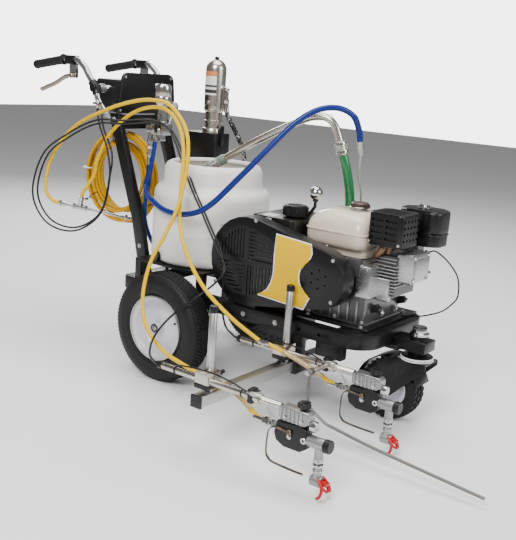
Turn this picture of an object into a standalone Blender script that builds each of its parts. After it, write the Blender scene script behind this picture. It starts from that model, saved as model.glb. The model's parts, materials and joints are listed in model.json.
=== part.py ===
"""Walk-behind line striping machine, one object for each sub-part.

Metres, +X forward, +Y to the machine's left, +Z up. The machine is laid out about the middle of
the rear axle, then moved so that the origin is at the middle of its footprint, on the ground.
"""

from math import acos, cos, pi, radians, sin, tan

import bmesh
import bpy
from mathutils import Matrix, Vector

# Fits
GAP = 0.0003  # between pieces that touch
RUNNING_GAP = 0.0010  # round pieces that turn past faceted neighbours

# Rear wheels
TYRE_RADIUS = 0.203
TYRE_WIDTH = 0.105
WHEEL_TRACK = 0.625
RIM_RADIUS = 0.116
RIM_LIP = 0.005
AXLE_RADIUS = 0.010
HUB_RADIUS = 0.0185

# Chassis
AXLE_DROP = 0.074  # from the rails' underside to the axle
RAIL_WIDTH = 0.050
RAIL_HEIGHT = 0.048
FRAME_HALF_WIDTH = 0.228
FRAME_REAR = -0.300
FRAME_FRONT = 0.800
FRONT_CORNER = 0.100
REAR_CORNER = 0.020
CROSS_MEMBER = 0.040
CROSS_MEMBER_PLACES = (0.220, 0.680)

# Front caster
CASTER_RADIUS = 0.110
CASTER_WIDTH = 0.075
CASTER_TRAIL = 0.080
CASTER_PIVOT_X = 0.875
CASTER_RIM_RADIUS = 0.066
CASTER_HUB_HALF = 0.040
KING_PIN_RADIUS = 0.012
FORK_PLATE = 0.005
FENDER_CLEARANCE = 0.006
FENDER_THICKNESS = 0.003
BEARING_RADIUS = 0.054
BEARING_HEIGHT = 0.012
CASTER_BOSS_RADIUS = 0.032
SWIVEL_CAP_RADIUS = 0.0235

# Hopper and its platform
HOPPER_X = -0.059
HOPPER_RADIUS = 0.227
HOPPER_TIER_RADIUS = 0.190
HOPPER_MOUTH_RADIUS = 0.155
HOPPER_WALL = 0.005
HOPPER_SHOULDER = 0.284  # above the hopper's bottom
HOPPER_HEIGHT = 0.379
PLATFORM_HEIGHT = 0.0805  # above the deck
PLATFORM_THICKNESS = 0.010

# Handle
POST_SPACING = 0.260
POST_THICKNESS = 0.025
POST_DEPTH = 0.050
GRIP_SPACING = 0.400
BAR_RADIUS = 0.0125
GRIP_RADIUS = 0.017
GRIP_LENGTH = 0.175
LEVER_LENGTH = 0.200
LEVER_THICKNESS = 0.007

# Paint pump
PUMP_X = -0.240
PUMP_Y = 0.200
PUMP_HEAD_RADIUS = 0.042
PUMP_TUBE_RADIUS = 0.036

# Drive
PUMP_SHAFT_X = 0.297
ENGINE_SHAFT_X = 0.598
PUMP_SHAFT_HEIGHT = 0.166  # above the deck
ENGINE_SHAFT_HEIGHT = 0.160
GUARD_BIG_RADIUS = 0.157
GUARD_SMALL_RADIUS = 0.100
GUARD_DEPTH = 0.065
GUARD_WALL = 0.003
GUARD_FACE_Y = -0.230
PANEL_THICKNESS = 0.003
BIG_PULLEY_RADIUS = 0.130
SMALL_PULLEY_RADIUS = 0.055
GROOVE_DEPTH = 0.010
BELT_WIDTH = 0.012
BELT_THICKNESS = 0.007
PULLEY_WIDTH = 0.026
SHAFT_RADIUS = 0.0125
ENGINE_SIDE_Y = -0.135
BASE_THICKNESS = 0.010

# Gun carrier
CARRIER_X = 0.515
CARRIER_BAR = 0.038
CARRIER_BAR_DROP = 0.108  # from the rails' underside to the bar's centre line
CARRIER_REACH = 0.720
GUN_SPACING = 0.400
INNER_POST_Y = -0.260
GUN_POST_RADIUS = 0.0125
GUN_POST_TOP = 0.130  # above the deck
ARM_RADIUS = 0.011
ARM_OFFSET = 0.025  # sideways, from the post to its arm
ARM_DROP = 0.095  # from the deck to the arm's centre line
ARM_REAR_X = 0.330
ARM_FRONT_X = 0.800
POINTER_Y = -0.400
POINTER_X = 0.705
POINTER_RADIUS = 0.005

# Hoses and cables
YELLOW_HOSE_RADIUS = 0.007
BLUE_HOSE_RADIUS = 0.0105
CABLE_RADIUS = 0.003
SUCTION_TUBE_RADIUS = 0.014
SUCTION_HOSE_RADIUS = 0.018
COIL_CENTRE = (-0.530, -0.030, 0.670)
COIL_OUTER_RADIUS = 0.195
COIL_INNER_RADIUS = 0.120
COIL_THICKNESS = 0.080
HOSE_SPLIT_X = 0.470  # where the hose on the machine meets the whip on the gun bar

# Heights that follow from these
RAIL_BOTTOM = TYRE_RADIUS + AXLE_DROP
DECK = RAIL_BOTTOM + RAIL_HEIGHT
HOPPER_BOTTOM = DECK + PLATFORM_HEIGHT + GAP
RAIL_CENTRE_Y = FRAME_HALF_WIDTH - RAIL_WIDTH / 2
CASTER_WHEEL_X = CASTER_PIVOT_X - CASTER_TRAIL
FORK_TOP = 2 * CASTER_RADIUS + 2 * FENDER_CLEARANCE
FORK_INSIDE = CASTER_HUB_HALF + 0.0035
BASE_TOP = DECK + GAP + BASE_THICKNESS
BAR_HEIGHT = RAIL_BOTTOM - CARRIER_BAR_DROP
ARM_HEIGHT = DECK - ARM_DROP
OUTER_POST_Y = INNER_POST_Y - GUN_SPACING

# Finishes: colour, roughness, metallic
BLACK_COAT = ((0.012, 0.012, 0.013), 0.42, 0.0)
DARK_BRONZE = ((0.020, 0.017, 0.014), 0.45, 0.2)
RUBBER = ((0.018, 0.018, 0.019), 0.85, 0.0)
RIM_PAINT = ((0.62, 0.61, 0.70), 0.45, 0.0)
MILKY = ((0.80, 0.77, 0.72), 0.40, 0.0)
STAINLESS = ((0.56, 0.52, 0.47), 0.25, 1.0)
CHROME = ((0.66, 0.65, 0.64), 0.15, 1.0)
CAST_ALUMINIUM = ((0.50, 0.50, 0.50), 0.50, 0.9)
CREAM = ((0.72, 0.66, 0.55), 0.35, 0.0)
YELLOW = ((0.85, 0.55, 0.02), 0.35, 0.0)
HOSE_YELLOW = ((0.90, 0.68, 0.02), 0.40, 0.0)
HOSE_BLUE = ((0.02, 0.07, 0.38), 0.40, 0.0)
HOSE_GREEN = ((0.05, 0.28, 0.13), 0.35, 0.0)
CHAMPAGNE = ((0.52, 0.47, 0.41), 0.35, 0.8)
RED = ((0.60, 0.02, 0.02), 0.40, 0.0)
BLACK_PLASTIC = ((0.015, 0.015, 0.015), 0.50, 0.0)

FINE_STEPS = 28
WHEEL_STEPS = 24
STEPS = 20
COARSE_STEPS = 12


# ---------------------------------------------------------------- solids


def box(low, high):
    """A box between two corners."""
    solid = bmesh.new()
    bmesh.ops.create_cube(solid, size=1.0)
    size = [b - a for a, b in zip(low, high)]
    middle = [(a + b) / 2 for a, b in zip(low, high)]
    bmesh.ops.scale(solid, vec=size, verts=solid.verts)
    bmesh.ops.translate(solid, vec=middle, verts=solid.verts)
    return solid


def block(centre, size):
    """A box about its centre."""
    low = [c - s / 2 for c, s in zip(centre, size)]
    high = [c + s / 2 for c, s in zip(centre, size)]
    return box(low, high)


def turned(profile, centre, direction=(0, 0, 1), steps=STEPS):
    """A closed outline of (radius, height) points, spun about a line through the centre."""
    solid = bmesh.new()
    points = [solid.verts.new((radius, 0, height)) for radius, height in profile]
    edges = []
    for start, end in zip(points, points[1:] + points[:1]):
        if max(start.co.x, end.co.x) > 0:
            edges.append(solid.edges.new((start, end)))
    bmesh.ops.spin(
        solid, geom=points + edges, axis=(0, 0, 1), cent=(0, 0, 0),
        angle=2 * pi, steps=steps, use_merge=True,
    )
    bmesh.ops.remove_doubles(solid, verts=solid.verts, dist=1e-6)
    bmesh.ops.recalc_face_normals(solid, faces=solid.faces)
    turn = Vector((0, 0, 1)).rotation_difference(Vector(direction)).to_matrix().to_4x4()
    bmesh.ops.transform(solid, matrix=Matrix.Translation(centre) @ turn, verts=solid.verts)
    return solid


def rod(start, end, radius, steps=COARSE_STEPS):
    """A round rod between two points."""
    along = Vector(end) - Vector(start)
    profile = [(0, 0), (radius, 0), (radius, along.length), (0, along.length)]
    return turned(profile, start, along, steps)


def prism(outline, plane, low, high):
    """A flat outline in the XY, XZ or YZ plane, drawn out between two places on the third axis."""
    place = {
        "XY": lambda a, b, c: (a, b, c),
        "XZ": lambda a, b, c: (a, c, b),
        "YZ": lambda a, b, c: (c, a, b),
    }[plane]
    solid = bmesh.new()
    face = solid.faces.new([solid.verts.new(place(a, b, low)) for a, b in outline])
    raised = bmesh.ops.extrude_face_region(solid, geom=[face])["geom"]
    shift = Vector(place(0, 0, high - low))
    bmesh.ops.translate(solid, vec=shift, verts=[v for v in raised if isinstance(v, bmesh.types.BMVert)])
    bmesh.ops.recalc_face_normals(solid, faces=solid.faces)
    return solid


def swept(points, radius, sides=8):
    """A round tube along a path, with flat ends."""
    path = [Vector(point) for point in points]
    solid = bmesh.new()
    side = None
    rings = []
    for index, point in enumerate(path):
        before = path[max(index - 1, 0)]
        after = path[min(index + 1, len(path) - 1)]
        along = (after - before).normalized()
        if side is None:
            side = along.orthogonal().normalized()
        side = (side - along * side.dot(along)).normalized()
        other = along.cross(side)
        turns = [2 * pi * k / sides for k in range(sides)]
        ring = [solid.verts.new(point + radius * (cos(t) * side + sin(t) * other)) for t in turns]
        rings.append(ring)
    for near, far in zip(rings, rings[1:]):
        for k in range(sides):
            nxt = (k + 1) % sides
            solid.faces.new((near[k], near[nxt], far[nxt], far[k]))
    solid.faces.new(rings[0])
    solid.faces.new(rings[-1])
    bmesh.ops.recalc_face_normals(solid, faces=solid.faces)
    return solid


# ---------------------------------------------------------------- outlines and paths


def rounded(corners, radii, steps=6):
    """A closed outline with each corner rounded by its own radius."""
    outline = []
    for index, corner in enumerate(corners):
        here = Vector(corner)
        back = (Vector(corners[index - 1]) - here).normalized()
        ahead = (Vector(corners[(index + 1) % len(corners)]) - here).normalized()
        radius = radii[index]
        half = acos(max(-1.0, min(1.0, back.dot(ahead)))) / 2
        if radius <= 0:
            outline.append(tuple(here))
            continue
        centre = here + (back + ahead).normalized() * radius / sin(half)
        start = here + back * radius / tan(half) - centre
        finish = here + ahead * radius / tan(half) - centre
        sweep = start.angle_signed(finish)
        for k in range(steps + 1):
            spoke = start.copy()
            spoke.rotate(Matrix.Rotation(-sweep * k / steps, 2))
            outline.append(tuple(centre + spoke))
    return outline


def arc(centre, radius, start, end, steps):
    """Points on a round arc, angles in degrees."""
    angles = [radians(start + (end - start) * k / steps) for k in range(steps + 1)]
    return [(centre[0] + radius * cos(a), centre[1] + radius * sin(a)) for a in angles]


def belt_outline(first, first_radius, second, second_radius, steps=14):
    """The outline of a band pulled tight round two circles, first on the left."""
    start = Vector(first)
    across = Vector(second) - start
    lean = acos((first_radius - second_radius) / across.length)
    heading = across.to_2d().angle_signed(Vector((1, 0)))
    top = heading + lean
    bottom = heading - lean
    outline = []
    for k in range(steps + 1):
        angle = top + (2 * pi - 2 * lean) * k / steps
        outline.append((first[0] + first_radius * cos(angle), first[1] + first_radius * sin(angle)))
    for k in range(steps + 1):
        angle = bottom + 2 * lean * k / steps
        outline.append((second[0] + second_radius * cos(angle), second[1] + second_radius * sin(angle)))
    return outline


def strip(points, width):
    """The outline of a flat strip of constant width along a bent line."""
    path = [Vector(point) for point in points]
    left, right = [], []
    for index, point in enumerate(path):
        before = path[max(index - 1, 0)]
        after = path[min(index + 1, len(path) - 1)]
        first = (point - before).normalized() if index else (after - point).normalized()
        second = (after - point).normalized() if index < len(path) - 1 else first
        middle = (first + second).normalized()
        normal = Vector((-middle.y, middle.x))
        reach = width / 2 / max(0.3, middle.dot(second))
        left.append(tuple(point + normal * reach))
        right.append(tuple(point - normal * reach))
    return left + right[::-1]


def smooth_path(points, spacing):
    """A smooth curve through the points, read at even steps."""
    spots = [Vector(point) for point in points]
    spots = [2 * spots[0] - spots[1]] + spots + [2 * spots[-1] - spots[-2]]
    fine = []
    for a, b, c, d in zip(spots, spots[1:], spots[2:], spots[3:]):
        for k in range(20):
            t = k / 20
            fine.append(
                0.5 * (2 * b + (c - a) * t + (2 * a - 5 * b + 4 * c - d) * t * t
                       + (3 * b - a - 3 * c + d) * t ** 3)
            )
    fine.append(spots[-2])
    total = sum((q - p).length for p, q in zip(fine, fine[1:]))
    count = max(3, round(total / spacing))
    path = [fine[0]]
    walked = 0.0
    for p, q in zip(fine, fine[1:]):
        step = (q - p).length
        while len(path) < count and walked + step >= total * len(path) / count:
            path.append(p.lerp(q, (total * len(path) / count - walked) / step))
        walked += step
    path.append(fine[-1])
    return path


def hose_path(points, spacing):
    """A smooth curve with a short straight run at each end, so that both end faces are square."""
    return [Vector(points[0])] + smooth_path(points[1:-1], spacing) + [Vector(points[-1])]


# ---------------------------------------------------------------- objects


def material(name, finish):
    """One Principled material from a finish's colour, roughness and metallic value."""
    colour, roughness, metallic = finish
    made = bpy.data.materials.new(name)
    made.use_nodes = True
    shader = made.node_tree.nodes["Principled BSDF"]
    shader.inputs["Base Color"].default_value = (*colour, 1.0)
    shader.inputs["Roughness"].default_value = roughness
    shader.inputs["Metallic"].default_value = metallic
    return made


def add_object(name, solid, pivot):
    """An object with its origin at the pivot, holding a solid given in the machine's frame."""
    bmesh.ops.translate(solid, vec=[-c for c in pivot], verts=solid.verts)
    mesh = bpy.data.meshes.new(name)
    solid.to_mesh(mesh)
    solid.free()
    made = bpy.data.objects.new(name, mesh)
    made.location = pivot
    bpy.context.scene.collection.objects.link(made)
    return made


def combine(made, operation, solids, pivot=(0, 0, 0)):
    """Add or cut each solid with a Boolean, in order, keeping it as a hidden helper."""
    for solid in solids:
        step = f"{operation.lower()}{len(made.modifiers)}"
        helper = add_object(f"{made.name}.{step}", solid, pivot)
        helper.hide_render = True
        helper.display_type = "WIRE"
        modifier = made.modifiers.new(step, "BOOLEAN")
        modifier.operation = operation
        modifier.object = helper


def make(name, finish, solids, cuts=(), pivot=(0, 0, 0)):
    """One named sub-part: its solids joined into one body, less the cuts."""
    made = add_object(name, solids[0], pivot)
    combine(made, "UNION", solids[1:], pivot)
    combine(made, "DIFFERENCE", cuts, pivot)
    made.data.shade_smooth()
    made.data.set_sharp_from_angle(angle=radians(30))
    made.data.materials.append(material(name, finish))
    return made


def make_cord(name, finish, points, radius, spacing):
    """A hose or cable: a round tube along a smooth curve through its route's points."""
    curve = bpy.data.curves.new(name, "CURVE")
    curve.dimensions = "3D"
    curve.bevel_depth = radius
    curve.bevel_resolution = 2
    curve.use_fill_caps = True
    curve.twist_mode = "MINIMUM"
    spline = curve.splines.new("POLY")
    path = hose_path(points, spacing)
    spline.points.add(len(path) - 1)
    for spot, place in zip(spline.points, path):
        spot.co = (*place, 1.0)
    curve.materials.append(material(name, finish))
    made = bpy.data.objects.new(name, curve)
    bpy.context.scene.collection.objects.link(made)
    return made


# ---------------------------------------------------------------- chassis


def build_chassis():
    """The welded frame, the engine base, the hopper platform and the rear axle."""
    corner_radii = [REAR_CORNER, FRONT_CORNER, FRONT_CORNER, REAR_CORNER]

    def frame_outline(inset):
        side = FRAME_HALF_WIDTH - inset
        corners = [
            (FRAME_REAR + inset, -side), (FRAME_FRONT - inset, -side),
            (FRAME_FRONT - inset, side), (FRAME_REAR + inset, side),
        ]
        return rounded(corners, [max(r - inset, 0.004) for r in corner_radii])

    solids = [prism(frame_outline(0), "XY", RAIL_BOTTOM, DECK)]
    window = prism(frame_outline(RAIL_WIDTH), "XY", RAIL_BOTTOM - 0.01, DECK + 0.01)
    made = make("chassis_frame", BLACK_COAT, solids, [window])
    inside = FRAME_HALF_WIDTH - RAIL_WIDTH
    extras = [
        box((x - CROSS_MEMBER / 2, -inside - 0.01, RAIL_BOTTOM + 0.008),
            (x + CROSS_MEMBER / 2, inside + 0.01, DECK - 0.0002))
        for x in CROSS_MEMBER_PLACES
    ]
    bracket_low = TYRE_RADIUS - AXLE_RADIUS - 0.014
    for side in (-1, 1):
        middle = side * RAIL_CENTRE_Y
        extras.append(box((-0.030, middle - 0.009, bracket_low), (0.030, middle + 0.009, RAIL_BOTTOM + 0.02)))
    stay_y = -FRAME_HALF_WIDTH + 0.002
    extras.append(box((0.610, stay_y, RAIL_BOTTOM - 0.047), (0.710, stay_y + 0.036, RAIL_BOTTOM + 0.003)))
    combine(made, "UNION", extras)
    ends = [(0, side * FRAME_HALF_WIDTH, TYRE_RADIUS) for side in (-1, 1)]
    combine(made, "DIFFERENCE", [rod(*ends, AXLE_RADIUS + GAP, STEPS)])

    half_axle = WHEEL_TRACK / 2 + 0.040
    make("rear_axle", STAINLESS, [
        rod((0, -half_axle, TYRE_RADIUS), (0, half_axle, TYRE_RADIUS), AXLE_RADIUS - 0.0002, STEPS),
    ])

    base = box((0.175, -0.160, DECK + GAP), (0.760, 0.205, BASE_TOP))
    suction_port = rod((0.420, 0.140, BASE_TOP - 0.002), (0.420, 0.140, BASE_TOP + 0.035), 0.020)
    pipe_port = rod((0.460, 0.190, BASE_TOP - 0.002), (0.460, 0.190, BASE_TOP + 0.020), 0.009)
    make("engine_base", BLACK_COAT, [base, suction_port, pipe_port])

    top = DECK + PLATFORM_HEIGHT
    front = 0.100
    rear = -0.2400
    side = FRAME_HALF_WIDTH - 0.003
    leg = 0.030
    solids = [box((rear, -side, top - PLATFORM_THICKNESS), (front, side, top))]
    for x in (rear, front - leg):
        for y in (-side, side - leg):
            solids.append(box((x, y, DECK + GAP), (x + leg, y + leg, top - PLATFORM_THICKNESS / 2)))
    make("hopper_platform", BLACK_COAT, solids)


def build_rear_wheels():
    """A dished rim and a tyre on each side, turning about the rear axle."""
    bore = AXLE_RADIUS + GAP
    half = TYRE_WIDTH / 2
    seat = half - 0.0085
    rim = [
        (bore, -0.048), (HUB_RADIUS, -0.048), (HUB_RADIUS, -0.007), (RIM_RADIUS - 0.018, -0.012),
        (RIM_RADIUS - 0.008, -seat - 0.003), (RIM_RADIUS + RIM_LIP, -seat - 0.006),
        (RIM_RADIUS + RIM_LIP, -seat - 0.002), (RIM_RADIUS, -seat),
        (RIM_RADIUS, seat), (RIM_RADIUS + RIM_LIP, seat + 0.002),
        (RIM_RADIUS + RIM_LIP, seat + 0.006), (RIM_RADIUS - 0.008, seat + 0.003),
        (RIM_RADIUS - 0.018, -0.006), (HUB_RADIUS, -0.001), (HUB_RADIUS, 0.034), (bore, 0.034),
    ]
    bead = RIM_RADIUS + GAP
    wall = [
        (bead, seat - GAP), (RIM_RADIUS + RIM_LIP, seat + 0.0012), (RIM_RADIUS + 0.014, half - 0.003),
        (TYRE_RADIUS * 0.81, half), (TYRE_RADIUS * 0.935, half - 0.006),
        (TYRE_RADIUS * 0.98, half - 0.016), (TYRE_RADIUS, half * 0.36),
    ]
    tyre = wall + [(radius, -height) for radius, height in wall[::-1]]
    for name, side in (("right", -1), ("left", 1)):
        centre = (0, side * WHEEL_TRACK / 2, TYRE_RADIUS)
        outward = (0, side, 0)
        make(f"rear_rim_{name}", RIM_PAINT, [turned(rim, centre, outward, WHEEL_STEPS)], pivot=centre)
        make(f"rear_tyre_{name}", RUBBER, [turned(tyre, centre, outward, WHEEL_STEPS)], pivot=centre)


def build_caster():
    """The front bracket with its king-pin boss, and the swivelling fork with its wheel."""
    pivot = (CASTER_PIVOT_X, 0, 0)
    bearing_top = FORK_TOP + BEARING_HEIGHT
    boss_top = DECK
    neck_low = RAIL_BOTTOM - 0.015
    cap_top = boss_top + 0.020
    boss_low = bearing_top + 0.0005
    boss = [
        (0, boss_low), (CASTER_BOSS_RADIUS, boss_low), (CASTER_BOSS_RADIUS, boss_top),
        (SWIVEL_CAP_RADIUS, boss_top), (SWIVEL_CAP_RADIUS, cap_top), (0, cap_top),
    ]
    solids = [
        box((FRAME_FRONT - 0.055, -0.060, neck_low), (FRAME_FRONT + 0.030, 0.060, RAIL_BOTTOM - GAP)),
        box(
            (FRAME_FRONT + GAP, -0.040, neck_low + 0.001),
            (CASTER_PIVOT_X + 0.043, 0.040, RAIL_BOTTOM + 0.024),
        ),
        turned(boss, pivot),
    ]
    pin_top = boss_top - 0.004
    bore_ends = [(*pivot[:2], bearing_top - 0.01), (*pivot[:2], pin_top + 0.001)]
    bore = rod(*bore_ends, KING_PIN_RADIUS + 0.0005, STEPS)
    make("caster_bracket", BLACK_COAT, solids, [bore])

    centre = (CASTER_WHEEL_X, 0, CASTER_RADIUS)
    inner = CASTER_RADIUS + FENDER_CLEARANCE
    outer = inner + FENDER_THICKNESS
    wide = FORK_INSIDE + FORK_PLATE
    wheel_spot = (centre[0], centre[2])
    fender = arc(wheel_spot, outer, 18, 195, 14) + arc(wheel_spot, inner, 195, 18, 14)
    top = FORK_TOP - CASTER_RADIUS
    reach = CASTER_TRAIL + BEARING_RADIUS
    plate = [
        (0.013, top - 0.002), (reach + 0.002, top - 0.002), (reach + 0.002, top - 0.020),
        (0.021, -0.014), (0.0, -0.021), (-0.021, -0.014), (-0.045, top - 0.020),
    ]
    plate = [(centre[0] + x, centre[2] + z) for x, z in plate]
    solids = [
        box(
            (centre[0] + 0.015, -wide + 0.002, FORK_TOP - 0.0075),
            (centre[0] + reach, wide - 0.002, FORK_TOP),
        ),
        prism(fender, "XZ", -wide + 0.0012, wide - 0.0012),
        prism(plate, "XZ", -wide, -FORK_INSIDE),
        prism(plate, "XZ", FORK_INSIDE, wide),
        rod((*pivot[:2], FORK_TOP - 0.002), (*pivot[:2], bearing_top), BEARING_RADIUS, STEPS),
        rod((*pivot[:2], FORK_TOP - 0.002), (*pivot[:2], pin_top), KING_PIN_RADIUS, STEPS),
        rod((centre[0], -wide - 0.008, centre[2]), (centre[0], wide + 0.008, centre[2]), 0.008),
    ]
    make("caster_fork", BLACK_COAT, solids, pivot=pivot)

    half = CASTER_WIDTH / 2
    seat = half - 0.0075
    rim = [
        (0.0088, -CASTER_HUB_HALF), (0.018, -CASTER_HUB_HALF), (0.018, -0.008),
        (CASTER_RIM_RADIUS - 0.008, -0.008), (CASTER_RIM_RADIUS - 0.006, -seat), (CASTER_RIM_RADIUS, -seat),
        (CASTER_RIM_RADIUS, seat), (CASTER_RIM_RADIUS - 0.006, seat), (CASTER_RIM_RADIUS - 0.008, 0.008),
        (0.018, 0.008), (0.018, CASTER_HUB_HALF), (0.0088, CASTER_HUB_HALF),
    ]
    wall = [
        (CASTER_RIM_RADIUS + GAP, seat), (CASTER_RIM_RADIUS + 0.004, half - 0.002),
        (CASTER_RADIUS * 0.86, half), (CASTER_RADIUS * 0.96, half - 0.007), (CASTER_RADIUS, half * 0.48),
    ]
    tyre = wall + [(radius, -height) for radius, height in wall[::-1]]
    make("caster_rim", RIM_PAINT, [turned(rim, centre, (0, 1, 0), WHEEL_STEPS)], pivot=centre)
    make("caster_tyre", RUBBER, [turned(tyre, centre, (0, 1, 0), WHEEL_STEPS)], pivot=centre)


# ---------------------------------------------------------------- handle


def post_outline():
    """The side view of a leaning handle post, from the frame up to the console."""
    line = [(-0.275, 0.0), (-0.325, 0.208), (-0.465, 0.588), (-0.472, 0.610)]
    half = POST_DEPTH / 2
    left = [(x - half, DECK + GAP + z) for x, z in line]
    right = [(x + half, DECK + GAP + z) for x, z in line]
    return left + right[::-1]


def build_handle():
    """The uprights, the console, the handlebar with its grips and the two hand levers."""
    inner = POST_SPACING / 2 - POST_THICKNESS / 2
    outer = POST_SPACING / 2 + POST_THICKNESS / 2
    tie_low = DECK + 0.550
    solids = [
        prism(post_outline(), "XZ", -outer, -inner),
        prism(post_outline(), "XZ", inner, outer),
        box((-0.475, -inner - 0.005, tie_low), (-0.455, inner + 0.005, tie_low + 0.055)),
        box((-0.460, -0.080, tie_low + 0.039), (-0.3077, -0.040, tie_low + 0.053)),
    ]
    make("uprights", BLACK_COAT, solids)

    console_low = DECK + 0.6125
    console_top = console_low + 0.160
    front = rounded(
        [(-0.150, console_low), (0.185, console_low), (0.170, console_top), (-0.130, console_top)],
        [0.008, 0.008, 0.035, 0.035],
    )
    solids = [
        prism(front, "YZ", -0.452, -0.440),
        box((-0.590, -0.125, console_low), (-0.450, 0.125, console_low + 0.130)),
    ]
    bar_height = DECK + 0.705
    slot = rod((-0.514, -0.3, bar_height), (-0.514, 0.3, bar_height), BAR_RADIUS + 0.0005)
    make("console", BLACK_PLASTIC, solids, [slot])

    slope = Vector((-GRIP_LENGTH, 0, -0.030)).normalized()
    bars = [rod((-0.514, -GRIP_SPACING / 2, bar_height), (-0.514, GRIP_SPACING / 2, bar_height), BAR_RADIUS)]
    grips = {}
    for name, side in (("right", -1), ("left", 1)):
        y = side * GRIP_SPACING / 2
        grip_front = Vector((-0.700, y, DECK + 0.805))
        bar_end = grip_front + slope * (GRIP_LENGTH - 0.006)
        line = [
            bar_end, grip_front, (-0.630, y, DECK + 0.806), (-0.585, y, DECK + 0.785),
            (-0.550, y, DECK + 0.745), (-0.514, y, bar_height), (-0.498, y, DECK + 0.660),
            (-0.482, side * 0.176, DECK + 0.615), (-0.478, side * 0.162, DECK + 0.590),
        ]
        bars.append(swept(line, BAR_RADIUS))
        bars.append(box((-0.675, y + 0.0045, DECK + 0.735), (-0.635, y + 0.0165, DECK + 0.806)))
        bars.append(rod((-0.655, y - 0.0045, DECK + 0.745), (-0.655, y + 0.006, DECK + 0.745), 0.004))
        grips[name] = (grip_front, y)
    stop_y = -GRIP_SPACING / 2 - 0.022
    bars.append(box((-0.502, stop_y - 0.004, DECK + 0.643), (-0.474, stop_y + 0.020, DECK + 0.653)))
    bars.append(rod((-0.478, stop_y, DECK + 0.660), (-0.478, stop_y, DECK + 0.630), 0.006))
    make("handlebar", CHROME, bars)

    bore = (BAR_RADIUS + GAP) / cos(pi / COARSE_STEPS)
    grip = [
        (bore, 0), (GRIP_RADIUS + 0.005, 0), (GRIP_RADIUS + 0.005, 0.006), (GRIP_RADIUS, 0.010),
        (GRIP_RADIUS - 0.001, GRIP_LENGTH * 0.5), (GRIP_RADIUS, GRIP_LENGTH - 0.012),
        (GRIP_RADIUS + 0.002, GRIP_LENGTH - 0.006), (GRIP_RADIUS - 0.002, GRIP_LENGTH),
        (0, GRIP_LENGTH), (0, GRIP_LENGTH - 0.005), (bore, GRIP_LENGTH - 0.005),
    ]
    for name, (grip_front, y) in grips.items():
        make(f"grip_{name}", BLACK_PLASTIC, [turned(grip, grip_front, slope, COARSE_STEPS)])
        pivot = Vector((-0.655, y, DECK + 0.745))
        tilt = radians(20)
        tip = pivot + Vector((-cos(tilt), 0, -sin(tilt))) * LEVER_LENGTH
        outline = strip([(pivot.x, pivot.z), (-0.690, DECK + 0.738), (tip.x, tip.z)], 0.014)
        half = LEVER_THICKNESS / 2
        bore = rod(pivot - Vector((0, 0.02, 0)), pivot + Vector((0, 0.02, 0)), 0.0046)
        eye = rod(pivot - Vector((0, half, 0)), pivot + Vector((0, half, 0)), 0.011)
        make(f"hand_lever_{name}", CHAMPAGNE, [prism(outline, "XZ", y - half, y + half), eye], [bore], pivot)


# ---------------------------------------------------------------- paint side


def build_hopper():
    """The paint tank: a two-tier turned shell with an open mouth."""
    z = HOPPER_BOTTOM
    wall = HOPPER_WALL
    shoulder = z + HOPPER_SHOULDER
    top = z + HOPPER_HEIGHT
    outside = [
        (0, z), (HOPPER_RADIUS - 0.020, z), (HOPPER_RADIUS - 0.004, z + 0.012), (HOPPER_RADIUS, z + 0.030),
        (HOPPER_RADIUS - 0.003, shoulder - 0.020), (HOPPER_RADIUS - 0.010, shoulder - 0.005),
        (HOPPER_TIER_RADIUS + 0.008, shoulder + 0.006), (HOPPER_TIER_RADIUS, shoulder + 0.018),
        (HOPPER_TIER_RADIUS - 0.003, top - 0.022), (HOPPER_TIER_RADIUS - 0.016, top - 0.004),
        (HOPPER_TIER_RADIUS - 0.028, top), (HOPPER_MOUTH_RADIUS, top - 0.006),
    ]
    inside = [
        (HOPPER_MOUTH_RADIUS, top - 0.006 - wall),
        (HOPPER_TIER_RADIUS - 0.016 - wall, top - 0.006 - wall),
        (HOPPER_TIER_RADIUS - 0.003 - wall, top - 0.022 - wall),
        (HOPPER_TIER_RADIUS - wall, shoulder + 0.018),
        (HOPPER_RADIUS - 0.003 - wall, shoulder - 0.020 - wall), (HOPPER_RADIUS - wall, z + 0.030),
        (HOPPER_RADIUS - 0.022, z + wall), (0, z + wall),
    ]
    make("hopper", MILKY, [turned(outside + inside, (HOPPER_X, 0, 0), steps=FINE_STEPS)])


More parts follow.
